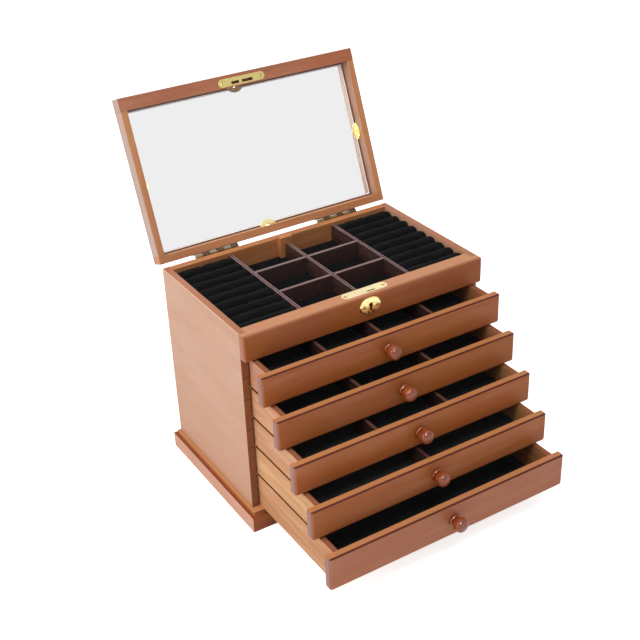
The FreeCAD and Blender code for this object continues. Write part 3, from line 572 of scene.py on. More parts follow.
def new_surface(name: str, pose: Pose, low: Vector = ORIGIN, high: Vector = ORIGIN) -> Surface:
    """Starts a material on a piece; a leaning piece is turned so that it counts as closed.

    Args:
        name: the material's name.
        pose: how the piece stands at rest.
        low: the low corner of the piece, for a finish that needs it.
        high: the high corner of the piece, for a finish that needs it.

    Returns:
        The surface.
    """
    graph, shader = new_material(name)
    source = graph.add("TexCoord")
    place, normal = source.outputs["Object"], source.outputs["Normal"]
    if pose is Pose.LEANING:
        place, normal = (
            graph.add("VectorRotate", {"Vector": socket, "Angle": lid_angle()},
                      rotation_type="X_AXIS").outputs[0]
            for socket in (place, normal))
    return Surface(graph, shader, place, normal, low, high)


@dataclass(frozen=True)
class WoodFinish:
    """Stained or bare timber under a thin varnish.

    Each amount is the share of its colour at full strength, and the colour of the inner faces
    multiplies what lies under it. The cove band is the foot and the top of a moulding's cove,
    where shade is painted. Some finishes paint light and shade by facing and on their arris.
    """

    name: str
    pale: Colour
    deep: Colour
    blotch: Colour
    pore: Colour
    arris: Colour
    blotch_amount: float = 0.5
    fibre_amount: float = 0.25
    arris_amount: float = 0.7
    joint_amount: float = 0.0
    top: Colour = (0.0, 0.0, 0.0)
    top_amount: float = 0.0
    inner: Colour = (1.0, 1.0, 1.0)
    inner_sides_only: bool = False
    outer: Colour = (0.0, 0.0, 0.0)
    outer_amount: float = 0.0
    end: Colour = (0.0, 0.0, 0.0)
    end_amount: float = 0.0
    line_width: float = 2.4 * MM
    foot_amount: float = 0.0
    cove_shade: Colour = (0.0, 0.0, 0.0)
    hollow_band: tuple[float, float] = (0.0, 0.0)
    band_width: float = 12 * MM
    fibre_width: float = 0.7 * MM
    blotch_size: float = 55 * MM
    board: float = 26 * MM
    roughness: tuple[float, float] = (0.42, 0.56)
    gloss: float = 0.25
    coat: float = 0.12
    coat_roughness: float = 0.24
    relief: float = 0.05 * MM
    relief_strength: float = 0.6

    def material(self, node: str, grain: Grain, seed: float, pose: Pose) -> Material:
        """The finish on one CAD piece.

        Args:
            node: the CAD node that it is made for.
            grain: the way the grain runs.
            seed: a number that shifts the figure, so that like pieces differ.
            pose: how the piece stands at rest.

        Returns:
            The material.
        """
        name = f"{self.name}_{node}"
        surface = new_surface(name, pose, *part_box(node))
        along = self.along_grain(surface, grain)
        figure = surface.graph.use(wood_figure(), Vector=along, Seed=seed,
                                   Band_Width=self.band_width, Fibre_Width=self.fibre_width)
        colour = self.toned(surface, self.stained(surface.graph, figure, along, seed))
        self.varnish(surface, figure, colour)
        return bpy.data.materials[name]

    def along_grain(self, surface: Surface, grain: Grain) -> Socket:
        """Swaps the axes of a place so that X runs along the grain.

        Args:
            surface: the material in the making.
            grain: the way the grain runs.

        Returns:
            The place with its axes swapped.
        """
        graph = surface.graph
        across, deep, high = graph.parts(surface.place)
        if grain is Grain.DEEP:
            return graph.joined(deep, across, high)
        if grain is Grain.UPRIGHT:
            return graph.joined(high, deep, across)
        if grain is Grain.MITRED:
            return graph.use(mitred_grain(), Vector=surface.place, Half_Width=surface.high.x,
                             Half_Depth=surface.high.y).outputs["Vector"]
        return graph.joined(across, deep, high)

    def stained(self, graph: Graph, figure: Node, along: Socket, seed: float) -> Socket:
        """The timber's own colours: bands, patches of stain, fibres and pores.

        Args:
            graph: the material's graph.
            figure: the node with the timber's figure.
            along: the place, with X along the grain.
            seed: a number that shifts the patches.

        Returns:
            The colour.
        """
        blotch = graph.use(stain_blotch(), Vector=along, Seed=seed, Size=self.blotch_size)
        colour = graph.blend(figure.outputs["Band"], rgba(self.pale), rgba(self.deep))
        patch = graph.product(blotch.outputs["Blotch"], self.blotch_amount)
        colour = graph.blend(patch, colour, rgba(self.blotch))
        fibre = graph.product(figure.outputs["Fibre"], self.fibre_amount)
        colour = graph.blend(fibre, colour, rgba(self.pore), "MULTIPLY")
        pore = graph.product(figure.outputs["Pore"], self.fibre_amount)
        return graph.blend(pore, colour, rgba(self.pore))

    def toned(self, surface: Surface, colour: Socket) -> Socket:
        """Adds the tones of the piece's joints, foot, faces, mouldings and edges.

        Args:
            surface: the material in the making.
            colour: the timber's own colour.

        Returns:
            The toned colour.
        """
        graph = surface.graph
        if self.joint_amount:
            colour = self.board_joints(surface, colour)
        if self.foot_amount:
            share = graph.use(height_share(), Vector=surface.place, Low=surface.low, High=surface.high)
            downward = graph.ramp(share.outputs["Share"], 0.05, 1.0)
            foot = graph.product(downward, self.foot_amount)
            colour = graph.blend(foot, colour, rgba(self.blotch))
        if self.top_amount:
            colour = self.toned_faces(surface, colour)
        # Painted shade in the moulding's cove, between two heights.
        if self.hollow_band[1]:
            band = graph.use(moulded_band(), Vector=surface.place, Foot=self.hollow_band[0],
                             Top=self.hollow_band[1])
            colour = graph.blend(band.outputs["Band"], colour, rgba(self.cove_shade))
        if self.end_amount:
            return self.trimmed(surface, colour)
        # The arris tone; where it is lighter than the wood, as on the case, side, plinth and dividers,
        # it is a painted highlight on the edges.
        arris = graph.use(arris_wear_and_highlight(), Normal=surface.normal).outputs["Arris"]
        return graph.blend(graph.product(arris, self.arris_amount), colour, rgba(self.arris))

    def board_joints(self, surface: Surface, colour: Socket) -> Socket:
        """Shades each glued board a little, and draws the joints on the front end grain.

        Args:
            surface: the material in the making.
            colour: the colour so far.

        Returns:
            The new colour.
        """
        graph = surface.graph
        boards = graph.use(glued_boards(), Height=graph.parts(surface.place)[2], Board=self.board)
        tone_amount, end_grain_amount = 0.16, 0.9
        tone = graph.product(boards.outputs["Tone"], tone_amount)
        colour = graph.blend(tone, colour, rgba(self.deep))
        facing_front = graph.ramp(graph.parts(surface.normal)[1], -0.6, -0.9)
        end_grain = graph.product(facing_front, end_grain_amount)
        colour = graph.blend(end_grain, colour, rgba(self.end))
        drawn = graph.product(boards.outputs["Joint"], facing_front)
        return graph.blend(graph.product(drawn, self.joint_amount), colour, rgba(self.pore))

    def toned_faces(self, surface: Surface, colour: Socket) -> Socket:
        """Gives the faces that look outwards, inwards and up a tone of their own: a stain on some
        finishes, painted light and shade on others.

        Args:
            surface: the material in the making.
            colour: the colour so far.

        Returns:
            The new colour.
        """
        graph = surface.graph
        faces = graph.use(wall_faces(), Vector=surface.place, Normal=surface.normal,
                          Low=surface.low, High=surface.high)
        # The inner colour darkens the faces inside the outer sides; on the plinth this is painted shade
        # on its front, back and upper faces.
        inside = faces.outputs["Inner"]
        if not self.inner_sides_only:
            inside = graph.math("SUBTRACT", 1.0, faces.outputs["Outer"])
        colour = graph.blend(inside, colour, rgba(self.inner), "MULTIPLY")
        # The outer colour is a painted sheen on the outer sides; only the lid uses it.
        painted_side_sheen = graph.product(faces.outputs["Outer"], self.outer_amount)
        colour = graph.blend(painted_side_sheen, colour, rgba(self.outer))
        # On the fronts, rail, plinth and dividers the top colour is painted light from above.
        upward = graph.product(faces.outputs["Top"], self.top_amount)
        return graph.blend(upward, colour, rgba(self.top))

    def trimmed(self, surface: Surface, colour: Socket) -> Socket:
        """Tones a front's round ends and draws the dark line on its upper arris.

        Args:
            surface: the material in the making.
            colour: the colour so far.

        Returns:
            The new colour.
        """
        graph = surface.graph
        trim = graph.use(front_trim(), Vector=surface.place, Normal=surface.normal,
                         Low=surface.low, Width=self.line_width)
        ends = graph.product(trim.outputs["End"], self.end_amount)
        colour = graph.blend(ends, colour, rgba(self.end))
        line = graph.product(trim.outputs["Line"], self.arris_amount)
        return graph.blend(line, colour, rgba(self.arris))

    def varnish(self, surface: Surface, figure: Node, colour: Socket) -> None:
        """Lays the colour, the relief of the fibres and the clear coat on the piece.

        Args:
            surface: the material in the making.
            figure: the node with the timber's figure.
            colour: the base colour.
        """
        graph, fibre = surface.graph, figure.outputs["Fibre"]
        height = graph.math("SUBTRACT", fibre, figure.outputs["Pore"])
        surface.finish(colour, graph.ramp(fibre, 0.0, 1.0, *self.roughness),
                       graph.bump(height, self.relief_strength, self.relief))
        surface.gloss(self.gloss)
        surface.shader.inputs["Coat Weight"].default_value = self.coat
        surface.shader.inputs["Coat Roughness"].default_value = self.coat_roughness


@dataclass(frozen=True)
class VelvetFinish:
    """Short black pile that lies in patches, lighter where it is stroked."""

    name: str
    shadow: Colour
    stroked: Colour
    tuft: float = 0.35 * MM
    patch: float = 22 * MM
    relief: float = 0.25 * MM
    relief_strength: float = 0.7
    roughness: tuple[float, float] = (0.85, 1.0)
    gloss: float = 0.08
    sheen: float = 0.02
    sheen_roughness: float = 0.35
    sheen_tint: Colour = (0.8, 0.8, 0.85)

    def material(self) -> Material:
        """The velvet.

        Returns:
            The material, the same one each time.
        """
        if self.name in bpy.data.materials:
            return bpy.data.materials[self.name]
        surface = new_surface(self.name, Pose.SQUARE)
        graph, inputs = surface.graph, surface.shader.inputs
        nap = graph.use(velvet_nap(), Vector=surface.place, Tuft=self.tuft, Patch=self.patch).outputs
        colour = graph.blend(nap["Stroke"], rgba(self.shadow), rgba(self.stroked))
        surface.finish(colour, graph.ramp(nap["Pile"], 0.2, 0.8, *self.roughness),
                       graph.bump(nap["Pile"], self.relief_strength, self.relief))
        surface.gloss(self.gloss)
        inputs["Sheen Weight"].default_value = self.sheen
        inputs["Sheen Roughness"].default_value = self.sheen_roughness
        inputs["Sheen Tint"].default_value = rgba(self.sheen_tint)
        return bpy.data.materials[self.name]


@dataclass(frozen=True)
class MetalFinish:
    """Plated or bare sheet metal with tarnish and fine brushing; a front part can be painted dark as
    painted shade and a painted dark reflection.
    """

    name: str
    bright: Colour
    tarnish: Colour
    tarnish_amount: float = 0.4
    rubbed_amount: float = 0.35
    roughness: tuple[float, float] = (0.16, 0.34)
    cloud: float = 7 * MM
    relief: float = 0.004 * MM
    relief_strength: float = 0.4
    painted_shade: Colour = (0.22, 0.14, 0.085)

    def material(self, pose: Pose = Pose.SQUARE, painted_shade_before: float | None = None) -> Material:
        """The metal on a piece that stands one way.

        Args:
            pose: how the piece stands at rest.
            painted_shade_before: the Y, with the lid closed, in front of which the metal is painted
                dark, as painted shade and a painted dark reflection.

        Returns:
            The material, the same one each time for the same pose.
        """
        name = f"{self.name}_{pose.value}"
        if name in bpy.data.materials:
            return bpy.data.materials[name]
        surface = new_surface(name, pose)
        graph = surface.graph
        wear = graph.use(metal_wear(), Vector=surface.place, Cloud=self.cloud).outputs
        arris = graph.use(arris_wear_and_highlight(), Normal=surface.normal).outputs["Arris"]
        tarnished = graph.product(wear["Tarnish"], self.tarnish_amount)
        colour = graph.blend(tarnished, rgba(self.bright), rgba(self.tarnish))
        rubbed = graph.product(arris, self.rubbed_amount)
        colour = graph.blend(rubbed, colour, rgba(self.bright))
        # Painted shade and a painted dark reflection on the part in front of the set depth.
        if painted_shade_before is not None:
            in_front = graph.math("LESS_THAN", graph.parts(surface.place)[1], painted_shade_before)
            colour = graph.blend(in_front, colour, rgba(self.painted_shade))
        surface.finish(colour, graph.ramp(wear["Tarnish"], 0.0, 1.0, *self.roughness),
                       graph.bump(wear["Brushing"], self.relief_strength, self.relief))
        surface.shader.inputs["Metallic"].default_value = 1.0
        return bpy.data.materials[name]


@dataclass(frozen=True)
class MirrorFinish:
    """Silvered glass with a ground edge, a bright band round its border that is a painted highlight,
    and a dark line outside it that is painted shade of the gap to the frame.
    """

    name: str = "silvered_glass"
    silver: Colour = (0.855, 0.855, 0.86)
    ground_edge_and_highlight: Colour = (0.93, 0.94, 0.93)
    joint: Colour = (0.05, 0.025, 0.02)
    joint_width: float = 1.1 * MM
    highlight_band_width: float = 2.9 * MM
    haze: float = 0.012
    cloud: float = 40 * MM
    ground_roughness: float = 0.35

    def material(self, low: Vector, high: Vector) -> Material:
        """The mirror's material.

        Args:
            low: the low corner of the mirror with the lid closed.
            high: the high corner of the mirror with the lid closed.

        Returns:
            The material.
        """
        surface = new_surface(self.name, Pose.LEANING, low, high)
        graph = surface.graph
        rim = graph.use(rim_distance(), Vector=surface.place, Low=low, High=high).outputs["Distance"]
        edge = graph.ramp(graph.math("ABSOLUTE", graph.parts(surface.normal)[2]), 0.9, 0.5)
        # A painted highlight: the bright band stands in for light caught in the glass's edge.
        painted_highlight_band = graph.ramp(rim, self.highlight_band_width, 0.8 * self.highlight_band_width)
        bevel = graph.math("MAXIMUM", edge, painted_highlight_band)
        # Painted shade: the dark line stands in for the shaded gap between glass and frame.
        joint = graph.ramp(rim, 1.2 * self.joint_width, 0.8 * self.joint_width)
        smudge = graph.use(metal_wear(), Vector=surface.place, Cloud=self.cloud).outputs["Tarnish"]
        colour = graph.blend(bevel, rgba(self.silver), rgba(self.ground_edge_and_highlight))
        colour = graph.blend(joint, colour, rgba(self.joint))
        smeared = graph.product(smudge, self.haze)
        ground = graph.product(bevel, self.ground_roughness)
        surface.finish(colour, graph.math("ADD", smeared, ground))
        graph.feed(surface.shader.inputs["Metallic"], graph.math("SUBTRACT", 1.0, bevel))
        return bpy.data.materials[self.name]


# The case wood's arris tone, lighter than the wood, is a painted highlight on its edges.
CASE_WOOD = WoodFinish(
    "case_wood", pale=(0.50, 0.205, 0.078), deep=(0.42, 0.16, 0.055), blotch=(0.42, 0.14, 0.032),
    pore=(0.26, 0.08, 0.03), arris=(0.58, 0.27, 0.13), blotch_amount=0.4, fibre_amount=0.12,
    arris_amount=0.5)
# The lid's outer sides take a pale, pinkish tone: a painted sheen.
LID_WOOD = replace(
    CASE_WOOD, name="lid_wood", pale=(0.54, 0.225, 0.085), deep=(0.46, 0.18, 0.062),
    inner=(0.74, 0.92, 1.5), inner_sides_only=True, outer=(0.38, 0.27, 0.24), outer_amount=0.85,
    top=(0.50, 0.22, 0.10), top_amount=0.5)
LID_FRONT_WOOD = replace(
    LID_WOOD, name="lid_front_wood", pale=(0.41, 0.15, 0.07), deep=(0.34, 0.11, 0.045),
    blotch=(0.40, 0.11, 0.04), arris=(0.07, 0.025, 0.015), arris_amount=0.95, inner=(1.0, 1.0, 1.0),
    blotch_amount=0.6)
# The plinth's tones paint light and shade by facing: the pale, pinker sides as lit by the lamp, the
# front, back and upper faces darkened as painted shade, the orange tops as painted highlight, and the
# cove band as painted shade.
PLINTH_WOOD = WoodFinish(
    "plinth_wood", pale=(0.54, 0.28, 0.19), deep=(0.48, 0.235, 0.15), blotch=(0.47, 0.22, 0.14),
    pore=(0.26, 0.08, 0.04), arris=(0.66, 0.33, 0.15), blotch_amount=0.3, fibre_amount=0.12,
    arris_amount=0.3, top=(0.58, 0.265, 0.10), top_amount=0.85, inner=(0.64, 0.37, 0.17),
    cove_shade=(0.29, 0.065, 0.018), hollow_band=(18.15 * MM, 21.5 * MM), gloss=0.12, coat=0.05)
# The side wood is a paler, pinker copy of the case wood: painted sheen for the soft reflection on the
# lit sides. Its lighter arris is a painted highlight.
SIDE_WOOD = WoodFinish(
    "side_wood", pale=(0.485, 0.272, 0.176), deep=(0.445, 0.236, 0.144), blotch=(0.40, 0.185, 0.095),
    pore=(0.20, 0.06, 0.03), arris=(0.74, 0.47, 0.33), blotch_amount=0.3, fibre_amount=0.06,
    arris_amount=0.8, joint_amount=0.95, top=(0.38, 0.135, 0.06), top_amount=0.85,
    inner=(0.52, 0.38, 0.28), end=(0.55, 0.235, 0.095), foot_amount=0.75, band_width=24 * MM,
    blotch_size=80 * MM)
# The lighter, yellower top colour is painted light on the upper faces.
FRONT_WOOD = WoodFinish(
    "front_wood", pale=(0.46, 0.158, 0.068), deep=(0.40, 0.112, 0.036), blotch=(0.38, 0.104, 0.012),
    pore=(0.20, 0.05, 0.02), arris=(0.08, 0.010, 0.004), blotch_amount=0.6, fibre_amount=0.12,
    arris_amount=0.97, top=(0.48, 0.20, 0.075), top_amount=0.75, end=(0.22, 0.115, 0.10),
    end_amount=0.8, foot_amount=0.35, band_width=20 * MM, gloss=0.15, coat=0.12)
FRONT_WOODS = (
    FRONT_WOOD,
    replace(FRONT_WOOD, name="brown_front_wood", pale=(0.43, 0.147, 0.060), deep=(0.37, 0.104, 0.032)),
    replace(FRONT_WOOD, name="amber_front_wood", pale=(0.51, 0.185, 0.078), deep=(0.45, 0.132, 0.043)),
    replace(FRONT_WOOD, name="light_front_wood", pale=(0.54, 0.20, 0.094), deep=(0.46, 0.142, 0.054)),
    replace(FRONT_WOOD, name="rosy_front_wood", pale=(0.51, 0.20, 0.112), deep=(0.45, 0.155, 0.08),
            blotch=(0.43, 0.15, 0.065), foot_amount=0.15),
)
# The rail is a darker copy of the front wood, as painted shade for the deeper shade it lies in; its
# lighter top is painted light from above.
RAIL_WOOD = replace(
    FRONT_WOOD, name="rail_wood", pale=(0.40, 0.125, 0.052), deep=(0.34, 0.09, 0.03),
    arris=(0.30, 0.095, 0.04), arris_amount=0.85, line_width=3.4 * MM, top=(0.54, 0.26, 0.13),
    end=(0.30, 0.11, 0.055))
BARE_WOOD = WoodFinish(
    "bare_wood", pale=(0.66, 0.40, 0.24), deep=(0.58, 0.33, 0.185), blotch=(0.60, 0.33, 0.16),
    pore=(0.46, 0.22, 0.10), arris=(0.48, 0.22, 0.10), blotch_amount=0.45, fibre_amount=0.25,
    arris_amount=0.35, band_width=9 * MM, roughness=(0.6, 0.75), gloss=0.15, coat=0.0, relief=0.08 * MM)
WALL_WOOD = replace(
    BARE_WOOD, name="wall_wood", pale=(0.62, 0.37, 0.20), deep=(0.52, 0.28, 0.14),
    blotch=(0.50, 0.24, 0.10), pore=(0.40, 0.17, 0.07), arris=(0.26, 0.08, 0.035), fibre_amount=0.15,
    arris_amount=0.5, top=(0.25, 0.08, 0.036), top_amount=0.9, inner=(0.74, 0.62, 0.44))
# Tones for each drawer's walls: partly timber that differs, partly painted shade, the first drawer's
# ruddy walls darkest for the shade of the rail and case over them.
WALL_WOODS = (
    replace(WALL_WOOD, name="ruddy_wall_wood", pale=(0.50, 0.25, 0.16), deep=(0.42, 0.20, 0.12)),
    replace(WALL_WOOD, name="pink_wall_wood", pale=(0.60, 0.32, 0.20), deep=(0.50, 0.25, 0.15)),
    replace(WALL_WOOD, name="fawn_wall_wood", pale=(0.60, 0.335, 0.205), deep=(0.49, 0.25, 0.14)),
    replace(WALL_WOOD, name="straw_wall_wood", pale=(0.64, 0.38, 0.205), deep=(0.54, 0.29, 0.135)),
    replace(WALL_WOOD, name="tan_wall_wood", pale=(0.56, 0.30, 0.16), deep=(0.45, 0.215, 0.10)),
)
KNOB_WOOD = WoodFinish(
    "knob_wood", pale=(0.32, 0.066, 0.011), deep=(0.23, 0.038, 0.005), blotch=(0.25, 0.047, 0.007),
    pore=(0.14, 0.03, 0.015), arris=(0.30, 0.09, 0.035), blotch_amount=0.4, fibre_amount=0.2,
    arris_amount=0.0, band_width=5 * MM, fibre_width=0.4 * MM, roughness=(0.45, 0.55), gloss=0.05,
    coat=0.8, coat_roughness=0.08, relief=0.01 * MM)
# The dividers' lighter tops and arris are painted sheen on the dark varnished wood.
DIVIDER_WOOD = WoodFinish(
    "divider_wood", pale=(0.046, 0.019, 0.015), deep=(0.030, 0.012, 0.010),
    blotch=(0.038, 0.014, 0.012), pore=(0.5, 0.4, 0.4), arris=(0.12, 0.06, 0.06),
    fibre_amount=0.25, arris_amount=0.6, top=(0.20, 0.11, 0.11), top_amount=0.85,
    band_width=8 * MM, roughness=(0.4, 0.5), coat=0.3, coat_roughness=0.3)
DRAWER_DIVIDER_WOOD = replace(
    DIVIDER_WOOD, name="drawer_divider_wood", arris=(0.10, 0.04, 0.027), top=(0.105, 0.045, 0.032))
TRAY_VELVET = VelvetFinish("tray_velvet", shadow=(0.0031, 0.0032, 0.0036),
                           stroked=(0.0041, 0.0042, 0.0048), sheen=0.014)
# The drawer velvet is the tray's fabric painted lighter, standing in for light that the drawers lack.
DRAWER_VELVET = VelvetFinish("drawer_velvet", shadow=(0.024, 0.024, 0.0255),
                             stroked=(0.033, 0.033, 0.035))
BRASS = MetalFinish("brass", bright=(0.88, 0.74, 0.36), tarnish=(0.66, 0.46, 0.13),
                    tarnish_amount=0.55, roughness=(0.12, 0.26), cloud=5 * MM)
PLATE_BRASS = MetalFinish("plate_brass", bright=(0.88, 0.77, 0.47), tarnish=(0.76, 0.63, 0.34),
                          tarnish_amount=0.2, roughness=(0.42, 0.5))
GOLD_BRASS = MetalFinish("gold_brass", bright=(0.60, 0.49, 0.20), tarnish=(0.42, 0.35, 0.10),
                         tarnish_amount=0.5, roughness=(0.2, 0.32), cloud=4 * MM)
SATIN_BRASS = MetalFinish("satin_brass", bright=(0.80, 0.71, 0.38), tarnish=(0.55, 0.45, 0.17),
                          tarnish_amount=0.35, roughness=(0.22, 0.36))
# The screw brass is darkened over its tarnish as painted shade for the dark crevices round the heads.
SCREW_BRASS = MetalFinish("screw_brass", bright=(0.46, 0.36, 0.14), tarnish=(0.14, 0.095, 0.03),
                          tarnish_amount=0.7, roughness=(0.3, 0.45), cloud=2.5 * MM)
AGED_BRASS = MetalFinish("aged_brass", bright=(0.26, 0.195, 0.09), tarnish=(0.05, 0.03, 0.016),
                         tarnish_amount=0.9, roughness=(0.25, 0.5), cloud=3 * MM)
DARK_BRASS = MetalFinish("dark_brass", bright=(0.13, 0.085, 0.055), tarnish=(0.035, 0.02, 0.014),
                         tarnish_amount=0.9, roughness=(0.3, 0.5), cloud=2.5 * MM)
STEEL = MetalFinish("steel", bright=(0.55, 0.55, 0.56), tarnish=(0.36, 0.35, 0.34),
                    roughness=(0.3, 0.5))
MIRROR = MirrorFinish()


# Meshes -------------------------------------------------------------------------------------


def dress(node: str, material: Material) -> Piece:
    """Gives a CAD piece its material.

    Args:
        node: the CAD node's name.
        material: the material for the whole piece.

    Returns:
        The CAD piece.
    """
    piece = frame["nodes"][node]
    piece.data.materials.clear()
    piece.data.materials.append(material)
    LOG.info("dressed %s in %s", node, material.name)
    return piece


def dress_wood(node: str, finish: WoodFinish, grain: Grain, seed: float,
               pose: Pose = Pose.SQUARE) -> Piece:
    """Gives a CAD piece a wood finish, with a seed for its figure, and returns the piece."""
    return dress(node, finish.material(node, grain, seed, pose))


def soften(piece: Piece, width: float) -> None:
    """Eases a piece's sharp edges, so that they catch the light as worked edges do.

    Args:
        piece: a CAD piece.
        width: how far the eased edge reaches on each face, in metres.
    """
    same_corner, eased_from, crisp_from, steps = 0.001 * MM, math.radians(40), math.radians(60), 2
    weld = piece.modifiers.new("joined_corners", "WELD")
    weld.merge_threshold = same_corner
    bevel = piece.modifiers.new("eased_edges", "BEVEL")
    bevel.limit_method = "ANGLE"
    bevel.angle_limit = eased_from
    bevel.width = width
    bevel.segments = steps
    mitres = piece.modifiers.new("crisp_mitres", "EDGE_SPLIT")
    mitres.split_angle = crisp_from
    shading = piece.modifiers.new("even_shading", "WEIGHTED_NORMAL")
    shading.keep_sharp = False


def new_piece(name: str, shape: Shape, material: Material, body: str) -> Piece:
    """Makes a piece of the object from a built shape.

    Args:
        name: the piece's name.
        shape: the shape, in the shared frame; it is freed.
        material: the piece's material.
        body: the body that the piece moves with.

    Returns:
        The new piece.
    """
    bmesh.ops.recalc_face_normals(shape, faces=shape.faces)
    mesh = bpy.data.meshes.new(name)
    shape.to_mesh(mesh)
    shape.free()
    mesh.shade_smooth()
    mesh.materials.append(material)
    piece = bpy.data.objects.new(name, mesh)
    bpy.context.scene.collection.objects.link(piece)
    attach(piece, body)
    LOG.info("made %s with %d faces", name, len(mesh.polygons))
    return piece


@dataclass
class VelvetSheet:
    """Velvet glued to a card, crowned a little between what stands on it."""

    low: Vector
    high: Vector
    finish: VelvetFinish
    bars_across: tuple[float, ...] = ()
    bars_deep: tuple[float, ...] = ()
    spacing: float = 2.5 * MM
    puff: float = 0.5 * MM
    rise: float = 2.2
    rim: float = 1.6 * MM
    rim_share: float = 0.35
    unevenness: float = 0.06 * MM
    seed: int = 1

    def cell(self, value: float, low: float, high: float, bars: tuple[float, ...]) -> float:
        """How far a point is into its compartment along one axis.

        Args:
            value: the point's place on the axis.
            low: where the sheet starts.
            high: where the sheet ends.
            bars: the places of the bars that stand on the sheet.

        Returns:
            The share, from 0 at a bar to 1 midway between two.
        """
        stops = [low, *sorted(bars), high]
        for start, end in zip(stops, stops[1:]):
            if start <= value <= end:
                return math.sin(math.pi * (value - start) / (end - start))
        return 0.0

    def height(self, x: float, y: float, wave: random.Random) -> float:
        """The height of the pile's top at a point.

        Args:
            x: the point's place across the sheet.
            y: the point's place along its depth.
            wave: the random numbers that make the pile uneven.

        Returns:
            The height.
        """
        inside = min(x - self.low.x, self.high.x - x, y - self.low.y, self.high.y - y)
        edge = min(1.0, max(0.0, inside / self.rim))
        roll = math.sqrt(max(0.0, 1.0 - (1.0 - edge) ** 2))
        crown = min(self.cell(x, self.low.x, self.high.x, self.bars_across),
                    self.cell(y, self.low.y, self.high.y, self.bars_deep))
        lift = self.puff * min(1.0, self.rise * crown) + wave.uniform(-1.0, 1.0) * self.unevenness
        thickness = self.high.z - self.low.z
        above_rim = (1.0 - self.rim_share) * thickness + lift
        return self.low.z + self.rim_share * thickness + roll * above_rim

    def shape(self) -> Shape:
        """The sheet as a closed shape.

        Returns:
            The shape, with a crowned top, a rolled rim and a flat back.
        """
        wave = random.Random(self.seed)
        columns = max(2, round((self.high.x - self.low.x) / self.spacing))
        rows = max(2, round((self.high.y - self.low.y) / self.spacing))
        shape = bmesh.new()
        top, back = [], []
        for row in range(rows + 1):
            y = self.low.y + (self.high.y - self.low.y) * row / rows
            top.append([])
            back.append([])
            for column in range(columns + 1):
                x = self.low.x + (self.high.x - self.low.x) * column / columns
                top[-1].append(shape.verts.new((x, y, self.height(x, y, wave))))
                back[-1].append(shape.verts.new((x, y, self.low.z)))
        for row in range(rows):
            for column in range(columns):
                for layer in (top, back):
                    shape.faces.new((layer[row][column], layer[row][column + 1],
                                     layer[row + 1][column + 1], layer[row + 1][column]))
        ring = ([(0, column) for column in range(columns)]
                + [(row, columns) for row in range(rows)]
                + [(rows, column) for column in range(columns, 0, -1)]
                + [(row, 0) for row in range(rows, 0, -1)])
        for (row, column), (next_row, next_column) in zip(ring, ring[1:] + ring[:1]):
            shape.faces.new((top[row][column], top[next_row][next_column],
                             back[next_row][next_column], back[row][column]))
        return shape

    def piece(self, name: str, body: str, node: str, rests_on: str) -> Piece:
        """Makes the sheet, laid on a board in place of its plain solid.

        Args:
            name: the piece's name.
            body: the body that it moves with.
            node: the CAD node that it stands for.
            rests_on: the CAD node that it lies on; not used.

        Returns:
            The velvet sheet.
        """
        sheet = new_piece(name, self.shape(), self.finish.material(), body)
        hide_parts(node)
        return sheet


# Sub-assemblies -----------------------------------------------------------------------------


